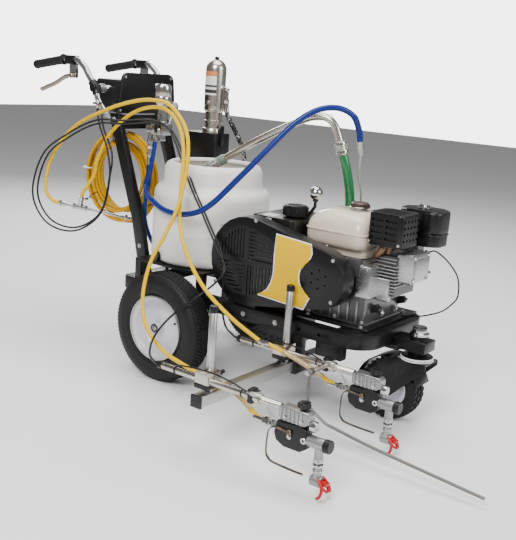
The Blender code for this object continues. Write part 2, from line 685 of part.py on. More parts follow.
def build_paint_pump():
    """The pump column behind the hopper, its bracket and its valve lever."""
    x, y = PUMP_X, PUMP_Y
    box_low = DECK + 0.442
    box_top = DECK + 0.552
    front = x + 0.050
    solids = [
        box((x - 0.115, y - 0.045, box_low), (front, y + 0.050, box_top)),
        box((x - 0.055, y - 0.022, DECK + GAP), (x - 0.015, y + 0.018, box_low + 0.01)),
    ]
    make("pump_bracket", BLACK_COAT, solids)

    tube_low = box_top + GAP
    head_low = DECK + 0.648
    head_top = DECK + 0.849
    dome = [
        (PUMP_HEAD_RADIUS * cos(radians(a)), head_top - PUMP_HEAD_RADIUS * (1 - sin(radians(a))))
        for a in range(0, 91, 15)
    ]
    profile = [
        (0, tube_low), (PUMP_TUBE_RADIUS + 0.009, tube_low), (PUMP_TUBE_RADIUS + 0.009, tube_low + 0.018),
        (PUMP_TUBE_RADIUS, tube_low + 0.022), (PUMP_TUBE_RADIUS, head_low - 0.006),
        (PUMP_HEAD_RADIUS, head_low), *[(max(r, 0), h) for r, h in dome[:-1]], (0, head_top),
    ]
    elbow = rod((x + 0.030, y, DECK + 0.735), (x + 0.063, y, DECK + 0.735), 0.009)
    drop = rod((x + 0.062, y, DECK + 0.742), (x + 0.062, y, DECK + 0.675), 0.009)
    make("pump_cylinder", STAINLESS, [turned(profile, (x, y, 0)), elbow, drop])

    spindle = Vector((front + 0.006, y - 0.010, DECK + 0.515))
    lever = rounded(
        [(spindle.y - 0.009, spindle.z - 0.012), (spindle.y + 0.009, spindle.z - 0.012),
         (spindle.y + 0.008, spindle.z + 0.070), (spindle.y - 0.008, spindle.z + 0.070)],
        [0.006] * 4, 3,
    )
    shank = rod((front + GAP, spindle.y, spindle.z), (front + 0.008, spindle.y, spindle.z), 0.006)
    blade = prism(lever, "YZ", front + 0.004, front + 0.011)
    make("pump_valve_lever", BLACK_PLASTIC, [blade, shank], pivot=spindle)


def build_manifold():
    """The filter housing that hangs on the uprights, with its chrome cup and its hose outlet."""
    x, y = -0.287, -0.060
    low = DECK + 0.520
    solids = [
        turned([(0, low), (0.020, low), (0.020, low + 0.132), (0.026, low + 0.135), (0.033, low + 0.150),
                (0.034, low + 0.208), (0.030, low + 0.219), (0, low + 0.219)], (x, y, 0), steps=16),
        block((x, y, low + 0.045), (0.066, 0.056, 0.044)),
        rod((x - 0.036, y - 0.022, low + 0.051), (x - 0.036, y - 0.022, low - 0.098), 0.011),
        box((x - 0.051, y - 0.0352, low + 0.031), (x - 0.017, y - 0.004, low + 0.059)),
        rod((x + 0.006, y - 0.020, low + 0.040), (x + 0.006, y - 0.034, low + 0.040), 0.009),
    ]
    make("filter_manifold", CHROME, solids)
    spot = (x + 0.006, y - 0.0343, low + 0.040)
    handle = rounded([(spot[0] - 0.006, spot[2] - 0.007), (spot[0] + 0.006, spot[2] - 0.007),
                      (spot[0] + 0.006, spot[2] + 0.040), (spot[0] - 0.006, spot[2] + 0.040)], [0.004] * 4, 2)
    make("drain_valve_lever", BLACK_PLASTIC, [
        prism(handle, "XZ", spot[1] - 0.006, spot[1]),
    ], pivot=spot)


def build_suction():
    """The stainless suction tube with its strainer, the cuff, and the hose down to the base."""
    route = [
        (-0.075, -0.024, 0.761), (-0.064, -0.020, 0.768), (0.010, 0.000, 0.816), (0.144, 0.040, 0.902),
        (0.274, 0.090, 0.976), (0.330, 0.102, 0.994), (0.370, 0.112, 0.990), (0.398, 0.121, 0.962),
        (0.416, 0.126, 0.920), (0.436, 0.130, 0.866),
    ]
    strainer_end = Vector((-0.125, -0.037, 0.726))
    ferrule = Vector((0.010, 0.000, 0.816))
    cuff_low = Vector((0.436, 0.130, 0.862))
    cuff_top = Vector((0.418, 0.1265, 0.914))
    down = (cuff_low - cuff_top).normalized()
    solids = [
        swept(smooth_path(route, 0.030), SUCTION_TUBE_RADIUS),
        rod(strainer_end, ferrule, 0.018),
        rod(cuff_top, cuff_low, 0.0225),
    ]
    make("suction_tube", STAINLESS, solids)
    hose = [
        cuff_low + down * GAP, cuff_low + down * 0.012, (0.449, 0.138, 0.815), (0.458, 0.150, 0.760),
        (0.464, 0.160, 0.690), (0.462, 0.161, 0.600), (0.445, 0.152, 0.490), (0.424, 0.142, 0.420),
        (0.420, 0.140, BASE_TOP + 0.047), (0.420, 0.140, BASE_TOP + 0.035 + GAP),
    ]
    make("suction_hose", HOSE_GREEN, [swept(hose_path(hose, 0.036), SUCTION_HOSE_RADIUS)])


# ---------------------------------------------------------------- drive


def build_drive():
    """The oil reservoir and pump housing, both pulleys, the belt, the guard and its panel."""
    big = (PUMP_SHAFT_X, DECK + PUMP_SHAFT_HEIGHT)
    small = (ENGINE_SHAFT_X, DECK + ENGINE_SHAFT_HEIGHT)
    tank = rounded([(0.240, -0.140), (0.425, -0.140), (0.425, 0.100), (0.240, 0.100)], [0.020] * 4, 4)
    top = DECK + 0.320
    shaft_y = GUARD_FACE_Y + GUARD_WALL + 0.010
    solids = [
        prism(tank, "XY", BASE_TOP + GAP, top),
        rod((0.376, -0.060, top - 0.002), (0.376, -0.060, top + 0.006), 0.034, 16),
        rod((big[0], -0.130, big[1]), (big[0], -0.162, big[1]), 0.045, 16),
    ]
    bore = rod((big[0], -0.100, big[1]), (big[0], -0.200, big[1]), SHAFT_RADIUS + RUNNING_GAP, 16)
    make("reservoir", DARK_BRONZE, solids, [bore])
    cap = [(0, top + 0.0063), (0.0455, top + 0.0063), (0.0465, top + 0.010), (0.0465, top + 0.038),
           (0.042, top + 0.043), (0, top + 0.043)]
    filler = (0.376, -0.060)
    make("reservoir_cap", BLACK_PLASTIC, [turned(cap, (*filler, 0), steps=16)], pivot=(*filler, top))

    fin_places = [0.275 + 0.030 * number for number in range(7)]
    fins = [
        box((x, -0.160, RAIL_BOTTOM - 0.072), (x + 0.010, -0.030, RAIL_BOTTOM - 0.048)) for x in fin_places
    ]
    body = box((0.260, -0.160, RAIL_BOTTOM - 0.050), (0.480, -0.030, DECK - 0.0002))
    make("oil_cooler", BLACK_COAT, [body] + fins)

    middle = GUARD_FACE_Y + GUARD_DEPTH / 2
    flank = PULLEY_WIDTH / 2
    slot = BELT_WIDTH / 2 + RUNNING_GAP
    for name, centre, radius, inner_end in (
        ("pump_pulley", big, BIG_PULLEY_RADIUS, -0.105),
        ("engine_pulley", small, SMALL_PULLEY_RADIUS, ENGINE_SIDE_Y - 0.0005),
    ):
        profile = [
            (0, -flank), (radius, -flank), (radius, -slot), (radius - GROOVE_DEPTH, -slot),
            (radius - GROOVE_DEPTH, slot), (radius, slot), (radius, flank), (0, flank),
        ]
        spot = (centre[0], middle, centre[1])
        solids = [
            turned(profile, spot, (0, 1, 0), STEPS),
            rod((centre[0], shaft_y, centre[1]), (centre[0], inner_end, centre[1]), SHAFT_RADIUS, 16),
        ]
        make(name, CAST_ALUMINIUM, solids, pivot=spot)
    seats = [radius - GROOVE_DEPTH + RUNNING_GAP for radius in (BIG_PULLEY_RADIUS, SMALL_PULLEY_RADIUS)]
    outer = belt_outline(big, seats[0] + BELT_THICKNESS, small, seats[1] + BELT_THICKNESS, FINE_STEPS)
    inner = belt_outline(big, seats[0], small, seats[1], FINE_STEPS)
    make("drive_belt", RUBBER, [prism(outer, "XZ", middle - BELT_WIDTH / 2, middle + BELT_WIDTH / 2)],
         [prism(inner, "XZ", middle - BELT_WIDTH, middle + BELT_WIDTH)])

    shell = belt_outline(big, GUARD_BIG_RADIUS, small, GUARD_SMALL_RADIUS)
    hollow = belt_outline(big, GUARD_BIG_RADIUS - GUARD_WALL, small, GUARD_SMALL_RADIUS - GUARD_WALL)
    back = GUARD_FACE_Y + GUARD_DEPTH
    foot = box((0.250, GUARD_FACE_Y + 0.010, DECK + GAP), (0.345, back, big[1] - GUARD_BIG_RADIUS + 0.0025))
    make("belt_guard", BLACK_COAT, [prism(shell, "XZ", GUARD_FACE_Y, back), foot],
         [prism(hollow, "XZ", GUARD_FACE_Y + GUARD_WALL, back + 0.01)])
    build_panel(small)


def build_panel(small):
    """The flared yellow panel on the guard, waisted between its two ends."""
    left = [
        (0.420, DECK + 0.287), (0.419, DECK + 0.235), (0.418, DECK + 0.147),
        (0.402, DECK + 0.100), (0.358, DECK + 0.059),
    ]
    right = arc(small, 0.072, 235, 112, 10)
    outline = left + [(0.552, DECK + 0.047), (0.570, DECK + 0.085)] + right[1:] + [(0.564, DECK + 0.256)]
    face = GUARD_FACE_Y - GAP
    make("guard_panel", YELLOW, [prism(outline, "XZ", face - PANEL_THICKNESS, face)])


def build_engine():
    """The engine: block with cylinder and recoil housing, tank and cap, muffler and air cleaner."""
    shaft = (ENGINE_SHAFT_X, DECK + ENGINE_SHAFT_HEIGHT)
    top = DECK + 0.220
    low = BASE_TOP + GAP
    crankcase = rounded(
        [(0.505, low), (0.735, low), (0.735, top), (0.505, top)], [0.006, 0.006, 0.02, 0.03], 3
    )
    solids = [
        prism(crankcase, "XZ", ENGINE_SIDE_Y, 0.115),
        turned([(0, 0), (0.118, 0), (0.118, 0.060), (0.085, 0.082), (0.085, 0.100), (0, 0.100)],
               (shaft[0], 0.112, shaft[1]), (0, 1, 0), 16),
        box((0.720, -0.070, DECK + 0.110), (0.795, 0.090, DECK + 0.250)),
        box((0.785, -0.050, DECK + 0.165), (0.850, 0.070, DECK + 0.262)),
    ]
    bore_ends = [(shaft[0], ENGINE_SIDE_Y + depth, shaft[1]) for depth in (-0.01, 0.004)]
    pulley_bore = rod(*bore_ends, 0.016, 16)
    make("engine_block", CAST_ALUMINIUM, solids, [pulley_bore])

    tank_low = top + GAP
    tank_top = DECK + 0.375
    plan = rounded([(0.440, -0.100), (0.680, -0.100), (0.680, 0.108), (0.440, 0.108)], [0.030] * 4, 4)
    cap_spot = (0.600, 0.0)
    crown = rounded([(0.460, -0.080), (0.660, -0.080), (0.660, 0.090), (0.460, 0.090)], [0.030] * 4, 4)
    neck = rod((*cap_spot, tank_top - 0.002), (*cap_spot, tank_top + 0.008), 0.024, 16)
    seat = rounded([(0.520, -0.070), (0.670, -0.070), (0.670, 0.100), (0.520, 0.100)], [0.020] * 4, 3)
    solids = [
        prism(plan, "XY", DECK + 0.245, tank_top - 0.022),
        prism(crown, "XY", tank_top - 0.024, tank_top),
        prism(seat, "XY", tank_low, DECK + 0.247),
        neck,
    ]
    make("fuel_tank", CREAM, solids)
    cap = [
        (0, tank_top + 0.0083), (0.033, tank_top + 0.0083), (0.035, tank_top + 0.012),
        (0.035, tank_top + 0.022), (0.030, tank_top + 0.027), (0, tank_top + 0.027),
    ]
    cap_solid = turned(cap, (*cap_spot, 0), steps=16)
    make("fuel_cap", DARK_BRONZE, [cap_solid], pivot=(*cap_spot, tank_top))

    cover = rounded([(0.690, -0.100), (0.820, -0.100), (0.820, 0.030), (0.690, 0.030)], [0.012] * 4, 3)
    stub = rod((0.745, -0.035, DECK + 0.2503), (0.745, -0.035, DECK + 0.290), 0.014)
    make("muffler", BLACK_COAT, [prism(cover, "XY", DECK + 0.285, DECK + 0.395), stub])

    cover = rounded([(0.700, 0.080), (0.860, 0.080), (0.860, 0.200), (0.700, 0.200)], [0.030] * 4, 4)
    neck = box((0.742, 0.0903, DECK + 0.175), (0.790, 0.140, DECK + 0.280))
    nut = rod((0.770, 0.140, DECK + 0.390), (0.770, 0.140, DECK + 0.405), 0.014)
    make("air_cleaner", BLACK_PLASTIC, [prism(cover, "XY", DECK + 0.272, DECK + 0.395), neck, nut])


# ---------------------------------------------------------------- guns


def build_carrier():
    """The sleeve under the right rail, and the sliding square bar with its two posts."""
    half = CARRIER_BAR / 2
    wall = 0.009
    sleeve = half + wall
    def bar_block(reach, rear, front, low=None, high=None):
        """A block about the bar's line, reaching this far on each side of it."""
        low = BAR_HEIGHT - reach if low is None else low
        high = BAR_HEIGHT + reach if high is None else high
        return box((CARRIER_X - reach, rear, low), (CARRIER_X + reach, front, high))

    ring = bar_block(sleeve, -0.235, -0.150)
    hanger = bar_block(sleeve, -0.228, -0.180, BAR_HEIGHT + half + 0.002, RAIL_BOTTOM - GAP)
    window = bar_block(half + 0.0005, -0.30, -0.10)
    make("carrier_bracket", BLACK_COAT, [ring, hanger], [window])

    solids = [bar_block(half, -CARRIER_REACH, -0.020)]
    for y in (INNER_POST_Y, OUTER_POST_Y):
        ends = [(CARRIER_X, y, BAR_HEIGHT), (CARRIER_X, y, DECK + GUN_POST_TOP)]
        solids.append(rod(*ends, GUN_POST_RADIUS, 16))
    make("carrier_bar", CHROME, solids)


def build_gun(name, post_y):
    """One gun arm with its post sleeve, its spray gun, trigger and reversible tip."""
    y = post_y - ARM_OFFSET
    z = ARM_HEIGHT
    low = z - 0.025
    solids = [
        rod((ARM_REAR_X, y, z), (ARM_FRONT_X, y, z), ARM_RADIUS),
        box((CARRIER_X - 0.025, y - 0.016, low), (CARRIER_X + 0.025, post_y + 0.020, z + 0.025)),
        rod((0.700, y, z), (0.728, y, z), 0.017),
    ]
    if name == "inner":
        solids.append(rod((POINTER_X, y, z + 0.005), (POINTER_X, POINTER_Y + 0.0140, z + 0.005), 0.008, 12))
    bore = rod((CARRIER_X, post_y, z - 0.1), (CARRIER_X, post_y, z + 0.1), GUN_POST_RADIUS + 0.0005, 16)
    make(f"gun_arm_{name}", STAINLESS, solids, [bore])

    tip_z = DECK - 0.275
    tip_x = 0.935
    front = tip_x + 0.022
    solids = [
        box((ARM_FRONT_X + GAP, y - 0.018, z - 0.032), (0.905, y + 0.018, z + 0.012)),
        box((0.790, y - 0.0175, DECK - 0.205), (0.900, y + 0.0175, z - 0.030)),
        rod((0.895, y, DECK - 0.165), (0.965, y, DECK - 0.165), 0.018),
        rod((0.760, y, DECK - 0.155), (0.795, y, DECK - 0.155), 0.009),
        rod((tip_x, y, DECK - 0.165), (tip_x, y, tip_z), 0.013),
        block((tip_x, y, tip_z), (0.036, 0.030, 0.036)),
    ]
    guard_line = [
        (tip_x + 0.010, tip_z + 0.010), (tip_x + 0.034, tip_z - 0.020), (tip_x + 0.034, tip_z - 0.038),
    ]
    for side in (-1, 1):
        arm = strip(guard_line, 0.006)
        near = y + side * 0.0165
        solids.append(prism(arm, "XZ", min(near, near - side * 0.005), max(near, near - side * 0.005)))
    bore = rod((tip_x - 0.03, y, tip_z), (tip_x + 0.05, y, tip_z), 0.0085)
    make(f"gun_{name}", CAST_ALUMINIUM, solids, [bore])

    grip = [
        (front + 0.006, tip_z - 0.0045), (front + 0.016, tip_z - 0.0045),
        (front + 0.016, tip_z + 0.0045), (front + 0.006, tip_z + 0.0045),
    ]
    solids = [
        rod((tip_x - 0.020, y, tip_z), (front + 0.010, y, tip_z), 0.0075),
        prism(grip, "XZ", y - 0.0110, y + 0.0110),
    ]
    make(f"tip_{name}", RED, solids, pivot=(front, y, tip_z))

    pivot = (0.845, y - 0.0200, DECK - 0.170)
    line = [
        (0.845, DECK - 0.170), (0.776, DECK - 0.186), (0.774, DECK - 0.262),
        (0.792, DECK - 0.277), (0.900, DECK - 0.277),
    ]
    plate = prism(strip(line, 0.009), "XZ", y - 0.0222, y - 0.0180)
    make(f"trigger_{name}", BLACK_PLASTIC, [plate], pivot=pivot)


def build_pointer():
    """The folding pointer: an upright that hangs from the inner arm, and the long rod ahead."""
    pivot = (POINTER_X, POINTER_Y, ARM_HEIGHT + 0.005)
    side_view = [
        (POINTER_X, pivot[2]), (POINTER_X, DECK - 0.190), (POINTER_X + 0.012, DECK - 0.205),
        (POINTER_X + 0.075, DECK - 0.240), (POINTER_X + 0.100, DECK - 0.244), (1.313, DECK - 0.298),
    ]
    line = [(x, POINTER_Y, z) for x, z in side_view]
    eye = rod((POINTER_X, POINTER_Y - 0.0137, pivot[2]), (POINTER_X, POINTER_Y + 0.0137, pivot[2]), 0.012)
    make("pointer_rod", STAINLESS, [swept(line, POINTER_RADIUS, 8), eye], pivot=pivot)


# ---------------------------------------------------------------- hoses and cables


def build_hoses():
    """The free hoses with their tee and coil, the pressure pipe and the control cable."""
    tee_start = Vector((-0.603, -0.300, 0.572))
    tee_end = Vector((-0.420, -0.0703, 0.513))
    along = (tee_end - tee_start).normalized()
    branch = tee_start + along * 0.085
    up = Vector((0.010, 0.000, 0.045)).normalized()
    outlet = branch + up * 0.046
    solids = [
        rod(tee_start, tee_start + along * 0.030, 0.0085),
        rod(tee_start + along * 0.010, tee_end + Vector((0, -0.004, 0)), 0.0055, 12),
        rod(branch - along * 0.016, branch + along * 0.016, 0.0095),
        rod(branch, outlet, 0.0085),
    ]
    make("tee_fitting", STAINLESS, solids)

    half = COIL_THICKNESS / 2
    edge = 0.022
    low, high = COIL_INNER_RADIUS, COIL_OUTER_RADIUS
    ring = [(low + edge, -half), (high - edge, -half), (high, -half + edge), (high, half - edge),
            (high - edge, half), (low + edge, half), (low, half - edge), (low, -half + edge)]
    make("hose_coil", HOSE_YELLOW, [turned(ring, COIL_CENTRE, (0, 1, 0), 16)])

    outer_y = OUTER_POST_Y - ARM_OFFSET
    inner_y = INNER_POST_Y - ARM_OFFSET
    outer_route = [
        tee_start - along * GAP, tee_start - along * 0.014,
        (-0.640, -0.318, 0.592), (-0.668, -0.312, 0.632), (-0.655, -0.296, 0.746),
        (-0.541, -0.285, 0.875), (-0.376, -0.268, 0.958), (-0.240, -0.256, 1.000), (-0.150, -0.250, 1.010),
        (-0.075, -0.248, 0.998), (0.006, -0.252, 0.927), (0.041, -0.270, 0.826), (0.046, -0.305, 0.678),
        (0.025, -0.345, 0.564), (-0.003, -0.390, 0.455), (-0.002, -0.424, 0.340), (0.051, -0.462, 0.252),
        (0.183, -0.520, 0.206), (0.330, -0.575, 0.203), (0.430, -0.609, 0.206),
        (HOSE_SPLIT_X - 0.014, -0.615, 0.206), (HOSE_SPLIT_X, -0.615, 0.206),
    ]
    make_cord("yellow_hose_outer", HOSE_YELLOW, outer_route, YELLOW_HOSE_RADIUS, 0.042)
    inner_route = [
        outlet + up * GAP, outlet + up * 0.014,
        (-0.506, -0.204, 0.690), (-0.476, -0.214, 0.758), (-0.398, -0.226, 0.866),
        (-0.273, -0.224, 0.958), (-0.142, -0.220, 0.984), (-0.060, -0.221, 0.938), (-0.011, -0.236, 0.847),
        (0.014, -0.268, 0.709), (0.050, -0.305, 0.592), (0.126, -0.338, 0.487), (0.223, -0.352, 0.394),
        (0.336, -0.345, 0.319), (0.425, -0.331, 0.272),
        (HOSE_SPLIT_X - 0.014, -0.326, 0.258), (HOSE_SPLIT_X, -0.326, 0.258),
    ]
    make_cord("yellow_hose_inner", HOSE_YELLOW, inner_route, YELLOW_HOSE_RADIUS, 0.042)
    start = HOSE_SPLIT_X + GAP
    end = 0.760 - GAP
    port = DECK - 0.155
    outer_whip = [
        (start, -0.615, 0.206), (start + 0.014, -0.615, 0.206),
        (0.560, -0.626, 0.205), (0.640, -0.658, 0.196), (0.705, -0.680, 0.178), (end - 0.014, outer_y, port), (end, outer_y, port),
    ]
    make_cord("gun_whip_outer", HOSE_YELLOW, outer_whip, YELLOW_HOSE_RADIUS, 0.028)
    inner_whip = [
        (start, -0.326, 0.258), (start + 0.014, -0.326, 0.258),
        (0.571, -0.312, 0.234), (0.650, -0.298, 0.205), (0.705, -0.288, 0.180), (end - 0.014, inner_y, port), (end, inner_y, port),
    ]
    make_cord("gun_whip_inner", HOSE_YELLOW, inner_whip, YELLOW_HOSE_RADIUS, 0.028)

    blue_end = Vector((0.522, 0.092, 0.925))
    fall = Vector((0.001, 0.012, -0.041)).normalized()
    blue_route = [
        (-0.323, -0.082, DECK + 0.422 - GAP), (-0.323, -0.082, DECK + 0.402),
        (-0.319, -0.088, 0.705), (-0.300, -0.118, 0.676), (-0.250, -0.168, 0.655),
        (-0.177, -0.214, 0.638), (-0.071, -0.252, 0.617), (0.036, -0.262, 0.620), (0.132, -0.250, 0.663),
        (0.236, -0.200, 0.787), (0.311, -0.150, 0.891), (0.369, -0.100, 0.974), (0.422, -0.050, 1.023),
        (0.472, 0.000, 1.036), (0.508, 0.050, 1.014), (0.520, 0.077, 0.970),
        blue_end - fall * 0.018, blue_end,
    ]
    make_cord("blue_hose", HOSE_BLUE, blue_route, BLUE_HOSE_RADIUS, 0.048)
    pipe = [
        blue_end + fall * 0.045, (0.514, 0.120, 0.810), (0.511, 0.155, 0.730), (0.497, 0.182, 0.650),
        (0.470, 0.194, 0.560), (0.460, 0.190, 0.440),
        (0.460, 0.190, BASE_TOP + 0.032), (0.460, 0.190, BASE_TOP + 0.020 + GAP),
    ]
    ferrule = rod(blue_end + fall * GAP, blue_end + fall * 0.050, 0.012)
    line = smooth_path(pipe[:-1], 0.030) + [Vector(pipe[-1])]
    make("pressure_pipe", STAINLESS, [swept(line, 0.0045, 8), ferrule])

    stop = (-0.478, -GRIP_SPACING / 2 - 0.022)
    cable_route = [
        (*stop, DECK + 0.630 - GAP), (*stop, DECK + 0.618), (-0.452, -0.232, 0.890), (-0.390, -0.246, 0.800),
        (-0.358, -0.262, 0.690), (-0.387, -0.280, 0.555), (-0.510, -0.300, 0.472), (-0.640, -0.330, 0.490),
        (-0.708, -0.345, 0.600), (-0.660, -0.335, 0.759), (-0.540, -0.318, 0.850), (-0.400, -0.303, 0.915),
        (-0.300, -0.258, 0.924), (-0.215, -0.205, 0.934), (-0.150, -0.185, 0.918), (-0.100, -0.184, 0.863),
        (-0.045, -0.188, 0.770), (0.005, -0.200, 0.705), (0.068, -0.218, 0.640), (0.130, -0.240, 0.580),
        (0.190, -0.258, 0.520), (0.248, -0.280, 0.460), (0.228, -0.308, 0.410), (0.180, -0.362, 0.350),
        (0.118, -0.400, 0.285), (0.130, -0.480, 0.250), (0.185, -0.570, 0.238), (0.250, -0.645, 0.231),
        (0.312, -0.685, ARM_HEIGHT), (ARM_REAR_X - GAP, -0.685, ARM_HEIGHT),
    ]
    make_cord("control_cable", BLACK_PLASTIC, cable_route, CABLE_RADIUS, 0.042)


# ---------------------------------------------------------------- whole machine


def move_origin_to_footprint():
    """Move everything so that the origin is under the middle of the machine, on the ground."""
    bpy.context.view_layer.update()
    graph = bpy.context.evaluated_depsgraph_get()
    lows = Vector((1e9, 1e9))
    highs = Vector((-1e9, -1e9))
    for item in bpy.data.objects:
        if item.hide_render or item.name in CORD_OBJECTS:
            continue
        held = item.evaluated_get(graph)
        mesh = held.to_mesh()
        for vertex in mesh.vertices:
            place = held.matrix_world @ vertex.co
            lows = Vector((min(lows.x, place.x), min(lows.y, place.y)))
            highs = Vector((max(highs.x, place.x), max(highs.y, place.y)))
        held.to_mesh_clear()
    middle = (lows + highs) / 2
    for item in bpy.data.objects:
        item.location.x -= middle.x
        item.location.y -= middle.y
    return middle


CORD_OBJECTS = (
    "yellow_hose_outer", "yellow_hose_inner", "gun_whip_outer", "gun_whip_inner",
    "blue_hose", "control_cable", "hose_coil", "tee_fitting",
)


def main():
    for item in list(bpy.data.objects):
        bpy.data.objects.remove(item)
    build_chassis()
    build_rear_wheels()
    build_caster()
    build_handle()
    build_hopper()
    build_paint_pump()
    build_manifold()
    build_suction()
    build_drive()
    build_engine()
    build_carrier()
    build_gun("outer", OUTER_POST_Y)
    build_gun("inner", INNER_POST_Y)
    build_pointer()
    build_hoses()
    middle = move_origin_to_footprint()
    print(f"axle middle moved by {-middle.x:.6f}, {-middle.y:.6f}")


main()
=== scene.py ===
"""The looks of a walk-behind line striping machine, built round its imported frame.

Each sub-assembly is a class that holds its sizes and makes its own pieces. Places are in the
machine's own frame: x 0 at the rear axle and forward, y 0 on the centre plane and to the
machine's left, z 0 on the floor. Shape.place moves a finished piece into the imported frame.
"""

import json
import logging
from collections.abc import Callable
from dataclasses import dataclass
from enum import Enum
from math import cos, pi, radians, sin

import bmesh
import bpy
from mathutils import Matrix, Vector


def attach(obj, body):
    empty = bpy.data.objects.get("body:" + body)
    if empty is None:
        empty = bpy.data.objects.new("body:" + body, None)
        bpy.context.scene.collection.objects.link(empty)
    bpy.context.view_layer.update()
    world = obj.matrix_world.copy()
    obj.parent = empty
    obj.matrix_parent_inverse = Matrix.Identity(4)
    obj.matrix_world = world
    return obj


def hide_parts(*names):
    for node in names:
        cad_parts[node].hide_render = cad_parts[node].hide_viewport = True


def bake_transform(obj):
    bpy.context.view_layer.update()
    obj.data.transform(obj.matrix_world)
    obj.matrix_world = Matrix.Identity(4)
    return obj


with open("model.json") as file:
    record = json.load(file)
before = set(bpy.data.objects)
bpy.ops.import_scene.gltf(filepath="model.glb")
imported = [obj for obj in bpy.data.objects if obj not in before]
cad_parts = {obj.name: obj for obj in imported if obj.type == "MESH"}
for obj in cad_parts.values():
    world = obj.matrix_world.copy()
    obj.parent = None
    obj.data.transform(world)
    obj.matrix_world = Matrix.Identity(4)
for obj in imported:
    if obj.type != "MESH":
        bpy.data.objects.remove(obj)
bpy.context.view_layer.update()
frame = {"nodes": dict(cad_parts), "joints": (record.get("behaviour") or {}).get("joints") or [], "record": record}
log = logging.getLogger("striper")

Point = tuple[float, float, float]
BODY_OF = {node: body for body, nodes in frame["record"]["behaviour"]["bodies"].items() for node in nodes}
X, Y, Z = Vector((1, 0, 0)), Vector((0, 1, 0)), Vector((0, 0, 1))
PLANES = {"XY": (0, 1, 2), "XZ": (0, 2, 1), "YZ": (2, 0, 1)}
"""Where x, y and z are found among an outline's two values and its height."""


def machine_origin() -> Vector:
    """Find the rear axle's middle, on the floor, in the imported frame.

    Returns:
        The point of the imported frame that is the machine's own origin.
    """
    spots = [Vector(j["pos_m"]) for j in frame["joints"] if j["name"].startswith("wheel_")]
    middle = sum(spots, Vector()) / len(spots)
    return Vector((middle.x, middle.y, 0.0))


ORIGIN = machine_origin()


# ---------------------------------------------------------------- finishes


class Surface(Enum):
    """How a finish lets light in."""

    SOLID = "solid"
    MILKY = "milky"
    CLEAR = "clear"


def group_socket(group: bpy.types.NodeTree, name: str, kind: str, value: object = None,
        out: bool = False) -> None:
    """Add one named socket to a node group.

    Args:
        group: The node group.
        name: The socket's name.
        kind: Float, Color or Vector.
        value: Its value where nothing is linked.
        out: Whether it is an output.
    """
    made = group.interface.new_socket(name=name, in_out="OUTPUT" if out else "INPUT",
        socket_type=f"NodeSocket{kind}")
    if value is not None:
        made.default_value = value


class Nodes:
    """A short way to write a node tree."""

    def __init__(self, tree: bpy.types.NodeTree) -> None:
        """Keep the tree to add to."""
        self.tree = tree

    def add(self, kind: str, inputs: dict | None = None, **settings: object) -> bpy.types.Node:
        """Add a node, set it up and link it.

        Args:
            kind: The node's type, without its ShaderNode prefix.
            inputs: For each input, by name or index, a value or an output socket.
            **settings: The node's own properties.

        Returns:
            The node.
        """
        node = self.tree.nodes.new(kind if kind.startswith("Node") else f"ShaderNode{kind}")
        for name, value in settings.items():
            setattr(node, name, value)
        for name, value in (inputs or {}).items():
            if isinstance(value, bpy.types.NodeSocket):
                self.tree.links.new(value, node.inputs[name])
            else:
                node.inputs[name].default_value = value
        return node

    def math(self, kind: str, a: object, b: object = 0.0) -> bpy.types.NodeSocket:
        """Add a math node that clamps its result, and return its output."""
        return self.add("Math", {0: a, 1: b}, operation=kind, use_clamp=True).outputs[0]

    def mix(self, share: object, a: object, b: object, blend: str = "MIX") -> bpy.types.NodeSocket:
        """Mix two colours and return the result's socket."""
        node = self.add("Mix", {0: share}, data_type="RGBA", blend_type=blend)
        for index, value in ((6, a), (7, b)):
            if isinstance(value, bpy.types.NodeSocket):
                self.tree.links.new(value, node.inputs[index])
            else:
                node.inputs[index].default_value = value
        return node.outputs[2]


